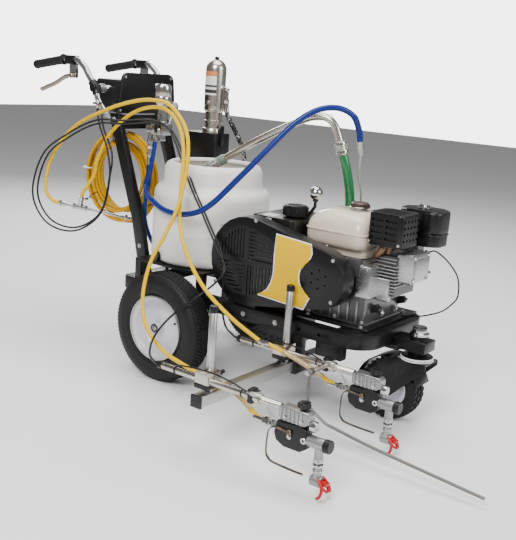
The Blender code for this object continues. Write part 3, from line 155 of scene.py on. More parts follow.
def weathered_group() -> bpy.types.NodeTree:
    """Make the shared effect of fine grain, uneven colour, worn edges and settled dust.

    Returns:
        The node group.
    """
    group = bpy.data.node_groups.new("Weathered", "ShaderNodeTree")
    group_socket(group, "Colour", "Color", (0.5, 0.5, 0.5, 1))
    group_socket(group, "Worn Colour", "Color", (0.6, 0.6, 0.6, 1))
    group_socket(group, "Dust Colour", "Color", (0.42, 0.39, 0.34, 1))
    for name, value in (("Roughness", 0.4), ("Mottle", 0.1), ("Wear", 0.1), ("Dust", 0.1),
            ("Grain Size", 400.0)):
        group_socket(group, name, "Float", value)
    group_socket(group, "Stretch", "Vector", (1, 1, 1))
    for name, kind in (("Colour", "Color"), ("Roughness", "Float"), ("Height", "Float")):
        group_socket(group, name, kind, out=True)
    nodes = Nodes(group)
    given = nodes.add("NodeGroupInput").outputs
    place = nodes.add("TexCoord").outputs["Object"]
    drawn = nodes.add("Mapping", {"Vector": place, "Scale": given["Stretch"]}).outputs[0]
    fine = nodes.add("TexNoise", {"Vector": drawn, "Scale": given["Grain Size"], "Detail": 3.0}).outputs[0]
    broad = nodes.add("TexNoise", {"Vector": place, "Scale": 14.0, "Detail": 5.0}).outputs[0]
    uneven = nodes.math("MULTIPLY", nodes.math("SUBTRACT", 1.25, broad), given["Mottle"])
    shade = nodes.mix(uneven, given["Colour"], (0.0, 0.0, 0.0, 1.0))
    edge = nodes.add("MapRange", {"Value": nodes.add("NewGeometry").outputs["Pointiness"], 1: 0.53, 2: 0.6})
    rubbed = nodes.math("MULTIPLY", edge.outputs[0], nodes.math("MULTIPLY", given["Wear"], fine))
    worn = nodes.mix(rubbed, shade, given["Worn Colour"])
    normal = nodes.add("NewGeometry").outputs["Normal"]
    upward = nodes.math("MAXIMUM", nodes.add("SeparateXYZ", {0: normal}).outputs[2], 0.02)
    settled = nodes.math("MULTIPLY", nodes.math("MULTIPLY", upward, given["Dust"]), broad)
    dusty = nodes.mix(settled, worn, given["Dust Colour"])
    uneven_gloss = nodes.math("ADD", given["Roughness"], nodes.math("MULTIPLY", fine, 0.1))
    gloss = nodes.math("ADD", uneven_gloss, nodes.math("MULTIPLY", settled, 0.6))
    nodes.add("NodeGroupOutput", {"Colour": dusty, "Roughness": gloss, "Height": fine})
    return group


def fleck_group() -> bpy.types.NodeTree:
    """Make the shared effect of small light flecks, as of a braid, a mesh or a cast face.

    Returns:
        The node group.
    """
    group = bpy.data.node_groups.new("Flecks", "ShaderNodeTree")
    group_socket(group, "Colour", "Color", (0.1, 0.1, 0.1, 1))
    group_socket(group, "Fleck Colour", "Color", (0.6, 0.6, 0.6, 1))
    group_socket(group, "Fleck Size", "Float", 300.0)
    group_socket(group, "Share", "Float", 0.5)
    group_socket(group, "Colour", "Color", out=True)
    nodes = Nodes(group)
    given = nodes.add("NodeGroupInput").outputs
    place = nodes.add("TexCoord").outputs["Object"]
    cells = nodes.add("TexVoronoi", {"Vector": place, "Scale": given["Fleck Size"]}).outputs["Color"]
    value = nodes.add("SeparateColor", {0: cells}).outputs[0]
    shown = nodes.math("LESS_THAN", value, given["Share"])
    nodes.add("NodeGroupOutput", {"Colour": nodes.mix(shown, given["Colour"], given["Fleck Colour"])})
    return group


GROUPS: dict[str, bpy.types.NodeTree] = {}


@dataclass(frozen=True)
class Finish:
    """A finish: its colour and gloss, its texture, and how it has aged."""

    name: str
    slot: str
    colour: Point
    roughness: float
    metallic: float = 0.0
    coat: float = 0.0
    specular: float = 0.5
    grain: float = 0.15
    grain_size: float = 500.0
    stretch: Point = (1.0, 1.0, 1.0)
    mottle: float = 0.1
    wear: float = 0.15
    worn: Point = (0.45, 0.45, 0.45)
    dust: float = 0.05
    fleck: Point | None = None
    fleck_size: float = 300.0
    fleck_share: float = 0.4
    surface: Surface = Surface.SOLID

    def material(self) -> bpy.types.Material:
        """Return this finish's material, made once.

        Returns:
            The material.
        """
        made = bpy.data.materials.get(self.name)
        if made is not None:
            return made
        made = bpy.data.materials.new(self.name)
        made.use_nodes = True
        nodes = Nodes(made.node_tree)
        colour: object = (*self.colour, 1.0)
        if self.fleck is not None:
            flecks = nodes.add("Group", node_tree=GROUPS["Flecks"])
            for name, value in (("Colour", colour), ("Fleck Colour", (*self.fleck, 1.0)),
                    ("Fleck Size", self.fleck_size), ("Share", self.fleck_share)):
                flecks.inputs[name].default_value = value
            colour = flecks.outputs[0]
        aged = nodes.add("Group", node_tree=GROUPS["Weathered"])
        if isinstance(colour, bpy.types.NodeSocket):
            made.node_tree.links.new(colour, aged.inputs["Colour"])
        else:
            aged.inputs["Colour"].default_value = colour
        for name, value in (("Worn Colour", (*self.worn, 1.0)), ("Roughness", self.roughness),
                ("Mottle", self.mottle), ("Wear", self.wear), ("Dust", self.dust),
                ("Grain Size", self.grain_size), ("Stretch", self.stretch)):
            aged.inputs[name].default_value = value
        shader = made.node_tree.nodes["Principled BSDF"]
        made.node_tree.links.new(aged.outputs["Colour"], shader.inputs["Base Color"])
        made.node_tree.links.new(aged.outputs["Roughness"], shader.inputs["Roughness"])
        bump = nodes.add("Bump", {"Height": aged.outputs["Height"], "Strength": self.grain,
            "Distance": 0.0006})
        made.node_tree.links.new(bump.outputs[0], shader.inputs["Normal"])
        shader.inputs["Metallic"].default_value = self.metallic
        shader.inputs["Coat Weight"].default_value = self.coat
        shader.inputs["Coat Roughness"].default_value = 0.08
        shader.inputs["Specular IOR Level"].default_value = self.specular
        if self.surface is Surface.MILKY:
            shader.inputs["Subsurface Weight"].default_value = 0.6
            shader.inputs["Subsurface Radius"].default_value = (0.02, 0.018, 0.015)
        elif self.surface is Surface.CLEAR:
            shader.inputs["Transmission Weight"].default_value = 0.85
            shader.inputs["IOR"].default_value = 1.45
        return made


STEEL = (0.6, 0.59, 0.57)
BLACK_COAT = Finish("Black powder coat", "black_coat", (0.0045, 0.0045, 0.005), 0.26, specular=0.32,
    grain=0.25, grain_size=900, wear=0.12, worn=(0.1, 0.1, 0.1), dust=0.012)
BRONZE = Finish("Bronze black coat", "dark_bronze", (0.009, 0.007, 0.005), 0.24, 0.1, specular=0.35,
    grain=0.2, wear=0.1, worn=(0.1, 0.09, 0.08), dust=0.012)
CAP_BROWN = Finish("Brown cap coat", "dark_bronze", (0.06, 0.03, 0.018), 0.35, 0.2, coat=0.4)
TYRE = Finish("Tyre rubber", "tyre", (0.007, 0.007, 0.0075), 0.5, specular=0.3, grain=0.4, grain_size=700,
    mottle=0.3, wear=0.1, worn=(0.03, 0.03, 0.03), dust=0.02)
RUBBER = Finish("Belt rubber", "rubber", (0.006, 0.006, 0.006), 0.5, specular=0.3, grain=0.3, mottle=0.2,
    dust=0.01)
RIM = Finish("White rim paint", "rim_paint", (0.66, 0.64, 0.72), 0.28, coat=0.5, grain=0.05, mottle=0.1)
MILKY = Finish("Milky tank plastic", "milky_plastic", (0.84, 0.81, 0.75), 0.38, coat=0.15, grain=0.12,
    grain_size=160, mottle=0.05, wear=0.0, dust=0.03, surface=Surface.MILKY)
STAINLESS = Finish("Brushed stainless", "stainless", (0.62, 0.57, 0.5), 0.2, 1.0, grain=0.12,
    grain_size=160, stretch=(1.0, 1.0, 14.0), mottle=0.15, wear=0.1, worn=(0.8, 0.8, 0.8), dust=0.02)
PLAIN_STEEL = Finish("Zinc plated steel", "stainless", STEEL, 0.3, 1.0, grain=0.15, grain_size=700,
    mottle=0.25)
GREY_ROD = Finish("Dull grey rod", "stainless", (0.22, 0.2, 0.18), 0.4, 0.8, grain=0.2, mottle=0.35,
    dust=0.0)
MESH = Finish("Strainer mesh", "stainless", (0.22, 0.22, 0.22), 0.38, 0.9, grain=0.9, grain_size=260,
    fleck=(0.62, 0.62, 0.6), fleck_size=420.0, fleck_share=0.5)
CHROME = Finish("Bright chrome", "chrome", (0.66, 0.65, 0.63), 0.1, 1.0, grain=0.04, mottle=0.25, wear=0.0,
    dust=0.0)
ALUMINIUM = Finish("Cast aluminium", "cast_aluminium", (0.36, 0.37, 0.38), 0.32, 0.9, grain=0.5,
    grain_size=420, mottle=0.45, fleck=(0.5, 0.5, 0.5), fleck_size=900.0, fleck_share=0.25, wear=0.5,
    worn=(0.7, 0.7, 0.7), dust=0.02)
CREAM = Finish("Cream enamel", "cream_paint", (0.74, 0.66, 0.52), 0.22, coat=0.5, grain=0.04, mottle=0.05,
    wear=0.0, dust=0.0)
YELLOW = Finish("Yellow enamel", "yellow_paint", (0.74, 0.45, 0.0), 0.5, specular=0.08, grain=0.06,
    mottle=0.03, wear=0.0, dust=0.0)
WHITE = Finish("White decal", "yellow_paint", (0.86, 0.86, 0.84), 0.3, coat=0.3, grain=0.05, mottle=0.05)
ORANGE = Finish("Orange decal", "yellow_paint", (0.75, 0.22, 0.04), 0.3, coat=0.3, grain=0.05, mottle=0.05)
BLACK_INK = Finish("Black decal", "black_plastic", (0.006, 0.006, 0.006), 0.3, specular=0.3, grain=0.05,
    mottle=0.05)
HOSE_YELLOW = Finish("Yellow hose jacket", "hose_yellow", (0.74, 0.47, 0.0), 0.42, specular=0.12,
    grain=0.12, grain_size=300, mottle=0.03, wear=0.0, dust=0.0)
COIL_GOLD = Finish("Golden hose jacket", "hose_yellow", (0.6, 0.32, 0.0), 0.42, specular=0.12, grain=0.12,
    grain_size=300, mottle=0.06, wear=0.0, dust=0.0)
HOSE_BLUE = Finish("Blue hose jacket", "hose_blue", (0.002, 0.017, 0.17), 0.3, specular=0.35, grain=0.15,
    mottle=0.12, wear=0.0, dust=0.0)
HOSE_GREEN = Finish("Green hose wall", "hose_green", (0.012, 0.17, 0.05), 0.18, coat=0.4, grain=0.15,
    mottle=0.2, wear=0.0, dust=0.0)
BRAID = Finish("Black braid", "black_plastic", (0.008, 0.008, 0.008), 0.4, specular=0.3, grain=0.9,
    grain_size=350, fleck=(0.4, 0.38, 0.35), fleck_size=240.0, fleck_share=0.14, dust=0.0)
COLLAR = Finish("Grey green collar", "hose_green", (0.16, 0.24, 0.18), 0.35, grain=0.2, mottle=0.3)
STRAP = Finish("Dark steel strap", "black_plastic", (0.16, 0.125, 0.09), 0.26, 0.9, grain=0.1, mottle=0.3,
    wear=0.3, worn=(0.5, 0.45, 0.4), dust=0.0)
CLEAR = Finish("Clear sleeve", "milky_plastic", (0.92, 0.9, 0.84), 0.1, grain=0.05, mottle=0.03, wear=0.0,
    surface=Surface.CLEAR)
CHAMPAGNE = Finish("Champagne lever", "champagne", (0.42, 0.36, 0.28), 0.26, 0.9, grain=0.12, mottle=0.15,
    wear=0.2, dust=0.0)
RED = Finish("Red plastic", "red_plastic", (0.5, 0.004, 0.008), 0.28, specular=0.4, grain=0.1, mottle=0.1,
    wear=0.0, dust=0.0)
PLASTIC = Finish("Black moulded plastic", "black_plastic", (0.0055, 0.0055, 0.006), 0.3, specular=0.34,
    grain=0.35, grain_size=800, mottle=0.2, wear=0.08, worn=(0.06, 0.06, 0.06), dust=0.012)
SATIN = Finish("Satin aluminium", "chrome", (0.62, 0.61, 0.59), 0.3, 1.0, grain=0.15, grain_size=200,
    stretch=(1.0, 6.0, 1.0), mottle=0.2, wear=0.2, worn=(0.8, 0.8, 0.8), dust=0.0)
BRIGHT_CAST = Finish("Bright cast cover", "cast_aluminium", (0.6, 0.6, 0.61), 0.22, 0.95, grain=0.2,
    grain_size=400, mottle=0.12)
GREY_CAST = Finish("Grey cast", "cast_aluminium", (0.17, 0.175, 0.18), 0.26, 0.85, grain=0.45,
    grain_size=420, mottle=0.6, wear=0.5, worn=(0.6, 0.6, 0.6), dust=0.01)
DARK_CAST = Finish("Dark cast", "cast_aluminium", (0.05, 0.05, 0.052), 0.34, 0.6, grain=0.45,
    grain_size=500, mottle=0.3, wear=0.35, worn=(0.4, 0.4, 0.4), dust=0.01)
COPPER = Finish("Heated pipe", "cast_aluminium", (0.3, 0.17, 0.1), 0.42, 0.8, grain=0.3, mottle=0.4)


# ---------------------------------------------------------------- shapes


def arc(centre: tuple[float, float], radius: float, first: float, last: float,
        steps: int) -> list[tuple[float, float]]:
    """Return points on a circle from one angle to another, in degrees."""
    turns = (radians(first + (last - first) * k / steps) for k in range(steps + 1))
    return [(centre[0] + radius * cos(t), centre[1] + radius * sin(t)) for t in turns]


def rounded_box(low: tuple[float, float], high: tuple[float, float],
        radius: float) -> list[tuple[float, float]]:
    """Return a rectangle's outline with round corners."""
    corners = ((high[0], high[1], 0), (low[0], high[1], 90), (low[0], low[1], 180), (high[0], low[1], 270))
    outline = []
    for x, y, angle in corners:
        centre = (x - radius if angle in (0, 270) else x + radius,
            y - radius if angle < 180 else y + radius)
        outline += arc(centre, radius, angle, angle + 90, 6)
    return outline


def smooth(points: list, spacing: float) -> list[Vector]:
    """Read a smooth curve through some points at even steps.

    Args:
        points: The points that the curve passes.
        spacing: About how far apart the steps are.

    Returns:
        The points on the curve.
    """
    spots = [Vector(p) for p in points]
    spots = [2 * spots[0] - spots[1], *spots, 2 * spots[-1] - spots[-2]]
    fine = []
    for a, b, c, d in zip(spots, spots[1:], spots[2:], spots[3:]):
        for k in range(24):
            t = k / 24
            fine.append(0.5 * (2 * b + (c - a) * t + (2 * a - 5 * b + 4 * c - d) * t**2
                + (3 * b - a - 3 * c + d) * t**3))
    fine.append(spots[-2])
    return even(fine, spacing)


def even(points: list[Vector], spacing: float) -> list[Vector]:
    """Read a line through many close points again, at even steps."""
    total = sum((q - p).length for p, q in zip(points, points[1:]))
    count = max(3, round(total / spacing))
    path, walked = [points[0]], 0.0
    for p, q in zip(points, points[1:]):
        step = (q - p).length
        while len(path) < count and walked + step >= total * len(path) / count:
            path.append(p.lerp(q, (total * len(path) / count - walked) / step))
        walked += step
    return [*path, points[-1]]


def length_of(path: list[Vector]) -> float:
    """Return a line's length."""
    return sum((q - p).length for p, q in zip(path, path[1:]))


def across(axis: Vector) -> tuple[Vector, Vector]:
    """Return two directions at right angles to an axis and to each other."""
    side = axis.cross(Z if abs(axis.z) < 0.9 else X).normalized()
    return side, axis.cross(side).normalized()


class Shape:
    """A mesh being built in the machine's own frame."""

    def __init__(self) -> None:
        """Start an empty mesh."""
        self.bm = bmesh.new()

    def rings(self, rings: list[list[Vector]], loop: bool = False) -> "Shape":
        """Join rings of points with faces.

        Args:
            rings: The rings; one of a single point is a tip.
            loop: Whether the last ring joins the first; otherwise the ends are capped.

        Returns:
            This shape.
        """
        made = [[self.bm.verts.new(p) for p in ring] for ring in rings]
        for a, b in zip(made, made[1:] + made[:1] if loop else made[1:]):
            for k in range(max(len(a), len(b))):
                here = (a[k % len(a)], a[(k + 1) % len(a)], b[(k + 1) % len(b)], b[k % len(b)])
                corners = list(dict.fromkeys(here))
                if len(corners) > 2:
                    self.bm.faces.new(corners)
        if not loop:
            for end in (made[0][::-1], made[-1]):
                if len(end) > 2:
                    self.bm.faces.new(end)
        return self

    def turned(self, profile: list[tuple[float, float]], centre: Point, axis: Point = (0, 0, 1),
            steps: int = 48, loop: bool = False) -> "Shape":
        """Turn a profile of (radius, height) about an axis.

        Args:
            profile: The outline, from one end to the other.
            centre: Where height 0 is.
            axis: The axis's direction.
            steps: How many steps make a full turn.
            loop: Whether the profile is a closed ring clear of the axis.

        Returns:
            This shape.
        """
        along = Vector(axis).normalized()
        u, v = across(along)
        spot = Vector(centre)
        rings = []
        for radius, height in profile:
            if radius < 1e-6:
                rings.append([spot + along * height])
                continue
            turns = (2 * pi * k / steps for k in range(steps))
            rings.append([spot + along * height + (u * cos(t) + v * sin(t)) * radius for t in turns])
        return self.rings(rings, loop)

    def rod(self, start: Point, end: Point, radius: float, steps: int = 20,
            edge: float = 0.0008) -> "Shape":
        """Add a round bar with chamfered ends."""
        a, b = Vector(start), Vector(end)
        size = (b - a).length
        profile = [(0, 0), (radius - edge, 0), (radius, edge), (radius, size - edge), (radius - edge, size),
            (0, size)]
        return self.turned(profile, a, b - a, steps)

    def band(self, centre: Point, axis: Point, inner: float, outer: float, size: float,
            steps: int = 40) -> "Shape":
        """Add a ring with softened edges, its middle at the centre."""
        half, edge = size / 2, min(size, outer - inner) * 0.25
        profile = [(inner, -half), (outer - edge, -half), (outer, -half + edge), (outer, half - edge),
            (outer - edge, half), (inner, half)]
        return self.turned(profile, centre, axis, steps, loop=True)

    def bolt(self, spot: Point, axis: Point, radius: float = 0.006) -> "Shape":
        """Add a hexagon head on a washer, which stands on a face."""
        self.turned([(0, 0), (radius * 1.5, 0), (radius * 1.5, radius * 0.22), (0, radius * 0.22)], spot,
            axis, 20)
        head = [(0, radius * 0.2), (radius, radius * 0.2), (radius, radius * 0.8), (radius * 0.86, radius),
            (0, radius)]
        return self.turned(head, spot, axis, 6)

    def tube(self, path: list, radius: float, sides: int = 14, loop: bool = False) -> "Shape":
        """Sweep a circle along a line of points.

        Args:
            path: The points.
            radius: The circle's radius.
            sides: How many sides it has.
            loop: Whether the line is closed.

        Returns:
            This shape.
        """
        spots = [Vector(p) for p in path]
        count = len(spots)
        side = None
        rings = []
        for k, spot in enumerate(spots):
            before = spots[k - 1] if k or loop else spot
            after = spots[(k + 1) % count] if k < count - 1 or loop else spot
            along = (after - before).normalized()
            side = across(along)[0] if side is None else (side - along * side.dot(along)).normalized()
            other = along.cross(side)
            turns = (2 * pi * n / sides for n in range(sides))
            rings.append([spot + (side * cos(t) + other * sin(t)) * radius for t in turns])
        return self.rings(rings, loop)

    def plate(self, outline: list[tuple[float, float]], plane: str, low: float, high: float,
            edge: float = 0.001, steps: int = 2) -> "Shape":
        """Raise an outline into a plate with rounded edges.

        Args:
            outline: The outline's points.
            plane: XY, XZ or YZ.
            low: Where the plate starts, along the third axis.
            high: Where it ends.
            edge: The edges' radius.
            steps: How many steps round an edge.

        Returns:
            This shape.
        """
        order = PLANES[plane]
        side = bmesh.new()
        ends = [[side.verts.new([(a, b, c)[k] for k in order]) for a, b in outline] for c in (low, high)]
        count = len(outline)
        caps = [side.faces.new(ends[0][::-1]), side.faces.new(ends[1])]
        for k in range(count):
            side.faces.new((ends[0][k], ends[0][(k + 1) % count], ends[1][(k + 1) % count], ends[1][k]))
        if edge > 0:
            rims = list({e for cap in caps for e in cap.edges})
            corners = [e for e in side.edges if e not in rims and e.calc_face_angle(0) > radians(40)]
            bmesh.ops.bevel(side, geom=rims + corners, offset=edge, segments=steps, profile=0.5,
                affect="EDGES")
        return self.take(side)

    def block(self, low: Point, high: Point, edge: float = 0.0015, steps: int = 2) -> "Shape":
        """Add a box with rounded edges."""
        outline = [(low[0], low[1]), (high[0], low[1]), (high[0], high[1]), (low[0], high[1])]
        return self.plate(outline, "XY", low[2], high[2], edge, steps)

    def take(self, other: bmesh.types.BMesh) -> "Shape":
        """Add another mesh to this one and free it."""
        mesh = bpy.data.meshes.new("part")
        other.to_mesh(mesh)
        other.free()
        self.bm.from_mesh(mesh)
        bpy.data.meshes.remove(mesh)
        return self

    def turn(self, angle: float, axis: Point, centre: Point) -> "Shape":
        """Turn all of the shape, by an angle in degrees."""
        rotation = Matrix.Rotation(radians(angle), 3, Vector(axis))
        bmesh.ops.rotate(self.bm, verts=self.bm.verts, cent=Vector(centre), matrix=rotation)
        return self

    def node(self, name: str, edge: float = 0.0015, sharp: float = 38.0) -> "Shape":
        """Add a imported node's solid with its sharp edges rounded.

        Args:
            name: The node.
            edge: The rounding's radius.
            sharp: The angle between faces, in degrees, from which an edge is rounded.

        Returns:
            This shape.
        """
        solid = bmesh.new()
        solid.from_mesh(frame["nodes"][name].data)
        bmesh.ops.remove_doubles(solid, verts=solid.verts, dist=2e-6)
        bmesh.ops.dissolve_limit(solid, angle_limit=radians(0.6), verts=solid.verts, edges=solid.edges)
        if edge > 0:
            keen = [e for e in solid.edges if len(e.link_faces) == 2
                and e.calc_face_angle(0) > radians(sharp)]
            bmesh.ops.bevel(solid, geom=keen, offset=edge, segments=2, profile=0.5, affect="EDGES",
                clamp_overlap=True)
        bmesh.ops.translate(solid, verts=solid.verts, vec=-ORIGIN)
        return self.take(solid)

    def place(self, name: str, body: str, finish: Finish, replaces: tuple[str, ...] = (),
            angle: float = 36.0, cut: "Shape | None" = None) -> bpy.types.Object:
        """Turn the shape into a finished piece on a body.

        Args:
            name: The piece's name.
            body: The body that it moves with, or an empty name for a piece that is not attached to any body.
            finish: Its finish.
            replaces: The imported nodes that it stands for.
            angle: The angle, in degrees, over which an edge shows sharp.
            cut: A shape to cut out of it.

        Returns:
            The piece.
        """
        piece = self.bare(name)
        if cut is not None:
            tool = cut.bare(f"{name}_cut")
            boolean = piece.modifiers.new("cut", "BOOLEAN")
            boolean.object, boolean.operation, boolean.solver = tool, "DIFFERENCE", "EXACT"
            bpy.context.view_layer.update()
            shown = piece.evaluated_get(bpy.context.evaluated_depsgraph_get())
            piece.modifiers.clear()
            piece.data = bpy.data.meshes.new_from_object(shown)
            bpy.data.objects.remove(tool)
        piece.data.shade_smooth()
        piece.data.set_sharp_from_angle(angle=radians(angle))
        piece.data.materials.clear()
        piece.data.materials.append(finish.material())
        if body:
            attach(piece, body)
        if replaces:
            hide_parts(*replaces)
        log.info("made %s on %s", name, body)
        return piece

    def bare(self, name: str) -> bpy.types.Object:
        """Make an object of this shape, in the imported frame, and free the shape."""
        bmesh.ops.recalc_face_normals(self.bm, faces=self.bm.faces)
        bmesh.ops.translate(self.bm, verts=self.bm.verts, vec=ORIGIN)
        mesh = bpy.data.meshes.new(name)
        self.bm.to_mesh(mesh)
        self.bm.free()
        piece = bpy.data.objects.new(name, mesh)
        bpy.context.scene.collection.objects.link(piece)
        return piece


def clad(node: str, finish: Finish, edge: float = 0.0015, sharp: float = 38.0,
        cut: Shape | None = None) -> bpy.types.Object:
    """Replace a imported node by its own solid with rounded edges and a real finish.

    Args:
        node: The node.
        finish: Its finish.
        edge: The rounding's radius.
        sharp: The angle from which an edge is rounded.
        cut: A shape to cut out of it.

    Returns:
        The piece.
    """
    return Shape().node(node, edge, sharp).place(f"{node}_clad", BODY_OF[node], finish, (node,), cut=cut)


# ---------------------------------------------------------------- hoses and cables


@dataclass
class Hose:
    """One free hose or cable: its route, its size and what it hangs between."""

    name: str
    route: list
    radius: float
    finish: Finish
    nodes: tuple[str, ...] = ()
    body: str = "root"
    lay: str = "loose"
    spacing: float = 0.01
    far_end: str = "object"
    bend_from: Point | None = None
    bend_to: Point | None = None
    bend_body: str = ""

    def path(self) -> list[Vector]:
        """Return the hose's centre line, with a short straight run at each end."""
        if self.lay == "coiled":
            return [Vector(p) for p in self.route]
        first, last = Vector(self.route[0]), Vector(self.route[-1])
        return [first, *smooth(self.route[1:-1], self.spacing), last]

    def build(self) -> list[Vector]:
        """Returns:
            Its centre line, in the machine's frame.
        """
        path = self.path()
        blended = bool(self.bend_body)
        shape = Shape().tube(path, self.radius, 16)
        piece = shape.place(self.name, "" if blended else self.body, self.finish, self.nodes, angle=60)
        if blended:
            ORIGIN + Vector(self.bend_from)
            ORIGIN + Vector(self.bend_to)
            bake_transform(piece)
        moved = [ORIGIN + p for p in path]
        tuple(moved[0])
        length_of(path)
        return path


@dataclass
class Hoses:
    """The paint hoses, the coil, the tee and the control cables."""

    yellow: float = 0.007
    blue: float = 0.0105
    cable: float = 0.0038
    gap: float = 0.0003
    split_x: float = 0.47
    coil_centre: Point = (-0.53, -0.03, 0.67)
    coil_turns: int = 9

    def build(self) -> None:
        """Make every hose, cable and fitting."""
        tee_start, tee_end = Vector((-0.603, -0.3, 0.572)), Vector((-0.42, -0.0703, 0.513))
        along = (tee_end - tee_start).normalized()
        branch = tee_start + along * 0.085
        up = Vector((0.01, 0.0, 0.045)).normalized()
        outlet = branch + up * 0.046
        self.tee(tee_start, tee_end, along, branch, up)
        split = self.split_x
        outer = [tee_start - along * self.gap, tee_start - along * 0.014, (-0.64, -0.318, 0.592),
            (-0.668, -0.312, 0.632), (-0.655, -0.296, 0.746), (-0.541, -0.285, 0.875),
            (-0.376, -0.268, 0.958), (-0.24, -0.256, 1.0), (-0.15, -0.25, 1.01), (-0.075, -0.248, 0.998),
            (0.006, -0.252, 0.927), (0.041, -0.27, 0.826), (0.046, -0.305, 0.678), (0.025, -0.345, 0.564),
            (-0.003, -0.39, 0.455), (-0.002, -0.424, 0.34), (0.051, -0.462, 0.252), (0.183, -0.52, 0.206),
            (0.33, -0.575, 0.203), (0.43, -0.609, 0.206), (split - 0.014, -0.615, 0.206),
            (split, -0.615, 0.206)]
        inner = [outlet + up * self.gap, outlet + up * 0.014, (-0.506, -0.204, 0.69),
            (-0.476, -0.214, 0.758), (-0.398, -0.226, 0.866), (-0.273, -0.224, 0.958),
            (-0.142, -0.22, 0.984), (-0.06, -0.221, 0.938), (-0.011, -0.236, 0.847), (0.014, -0.268, 0.709),
            (0.05, -0.305, 0.592), (0.126, -0.338, 0.487), (0.223, -0.352, 0.394), (0.336, -0.345, 0.319),
            (0.425, -0.331, 0.272), (split - 0.014, -0.326, 0.258), (split, -0.326, 0.258)]
        for name, route, start, end in (("outer", outer, (0.1, -0.5, 0.22), (split, -0.615, 0.206)),
                ("inner", inner, (0.2, -0.35, 0.4), (split, -0.326, 0.258))):
            Hose(f"hose_{name}", route, self.yellow, HOSE_YELLOW, (f"yellow_hose_{name}",), bend_from=start,
                bend_to=end, bend_body="carrier").build()
        low, port = split + self.gap, 0.17
        whips = {"outer": [(low, -0.615, 0.206), (low + 0.014, -0.615, 0.206), (0.56, -0.626, 0.205),
            (0.64, -0.658, 0.196), (0.705, -0.68, 0.178), (0.7457, -0.685, port), (0.7597, -0.685, port)],
            "inner": [(low, -0.326, 0.258), (low + 0.014, -0.326, 0.258), (0.571, -0.312, 0.234),
            (0.65, -0.298, 0.205), (0.705, -0.288, 0.18), (0.7457, -0.285, port), (0.7597, -0.285, port)]}
        for name, route in whips.items():
            path = Hose(f"whip_{name}", route, self.yellow, HOSE_YELLOW, (f"gun_whip_{name}",), "carrier",
                bend_from=route[0], bend_to=route[-1], bend_body=f"arm_{name}").build()
            self.whip_dress(name, path, route)
        self.blue_line()
        self.cables()
        self.coil(tee_end)

    def whip_dress(self, name: str, path: list[Vector], route: list) -> None:
        """Add the clear sleeve and the crimped fitting of a gun's own hose."""
        sleeve = Shape().tube(path[len(path) // 4: len(path) * 4 // 5], self.yellow + 0.0016, 18)
        sleeve = sleeve.place(f"whip_sleeve_{name}", "", CLEAR, angle=60)
        ORIGIN + Vector(route[0])
        ORIGIN + Vector(route[-1])
        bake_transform(sleeve)
        end = Vector(route[-1])
        fitting = Shape().rod(end - X * 0.052, end - X * 0.016, 0.0095, 20)
        fitting.turned([(0, 0), (0.0125, 0), (0.0135, 0.002), (0.0135, 0.016), (0, 0.016)], end - X * 0.016,
            (1, 0, 0), 6)
        for k in range(4):
            fitting.band(end - X * (0.048 - 0.008 * k), (1, 0, 0), 0.009, 0.0104, 0.003, 20)
        fitting.place(f"whip_fitting_{name}", f"arm_{name}", CHROME)
        joint = Shape().rod(Vector(route[0]) - X * 0.022, Vector(route[0]) + X * 0.022, 0.0088, 20)
        joint.turned([(0, -0.006), (0.012, -0.006), (0.012, 0.006), (0, 0.006)], route[0], (1, 0, 0), 6)
        joint.place(f"whip_joint_{name}", "carrier", CHROME)

    def tee(self, start: Vector, end: Vector, along: Vector, branch: Vector, up: Vector) -> None:
        """Make the tee that splits the paint between the two guns."""
        shape = Shape().rod(start, start + along * 0.03, 0.0095).rod(start + along * 0.01, end - Y * 0.004,
            0.0058)
        shape.rod(branch - along * 0.018, branch + along * 0.018, 0.01, 24).rod(branch, branch + up * 0.046,
            0.0085)
        for place, way in ((start, along), (branch - along * 0.03, along), (branch + along * 0.018, along),
                (branch + up * 0.01, up), (branch + up * 0.03, up), (end - along * 0.03, along)):
            shape.turned([(0, 0), (0.0115, 0), (0.0122, 0.001), (0.0122, 0.011), (0.0115, 0.012),
                (0, 0.012)], place, way, 6)
        shape.place("tee_body", "root", CHROME, ("tee_fitting",))

    def blue_line(self) -> None:
        """Make the blue drain hoses with their fittings and spring guards."""
        end = Vector((0.522, 0.092, 0.925))
        fall = Vector((0.001, 0.012, -0.041)).normalized()
        route = [(-0.323, -0.082, 0.7467), (-0.323, -0.082, 0.727), (-0.319, -0.088, 0.705),
            (-0.3, -0.118, 0.676), (-0.25, -0.168, 0.655), (-0.177, -0.214, 0.638), (-0.071, -0.252, 0.617),
            (0.036, -0.262, 0.62), (0.132, -0.25, 0.663), (0.236, -0.2, 0.787), (0.311, -0.15, 0.891),
            (0.369, -0.1, 0.974), (0.422, -0.05, 1.023), (0.472, 0.0, 1.036), (0.508, 0.05, 1.014),
            (0.52, 0.077, 0.97), end - fall * 0.018, end]
        path = Hose("blue_line", route, self.blue, HOSE_BLUE, ("blue_hose",)).build()
        for name, part in (("near", path[:11]), ("far", path[-10:])):
            self.spring(f"blue_spring_{name}", part)
        side = [(-0.281, -0.098, 0.842), (-0.281, -0.101, 0.826), (-0.282, -0.108, 0.78),
            (-0.292, -0.112, 0.7), (-0.315, -0.105, 0.6), (-0.325, -0.09, 0.52), (-0.315, -0.06, 0.44),
            (-0.29, -0.02, 0.38), (-0.277, 0.0, 0.345), (-0.277, 0.0, 0.3262)]
        Hose("blue_drain", side, 0.0085, HOSE_BLUE).build()
        pipe = [end + fall * 0.045, (0.514, 0.12, 0.81), (0.511, 0.155, 0.73), (0.497, 0.182, 0.65),
            (0.47, 0.194, 0.56), (0.46, 0.19, 0.44), (0.46, 0.19, 0.3673), (0.46, 0.19, 0.3556)]
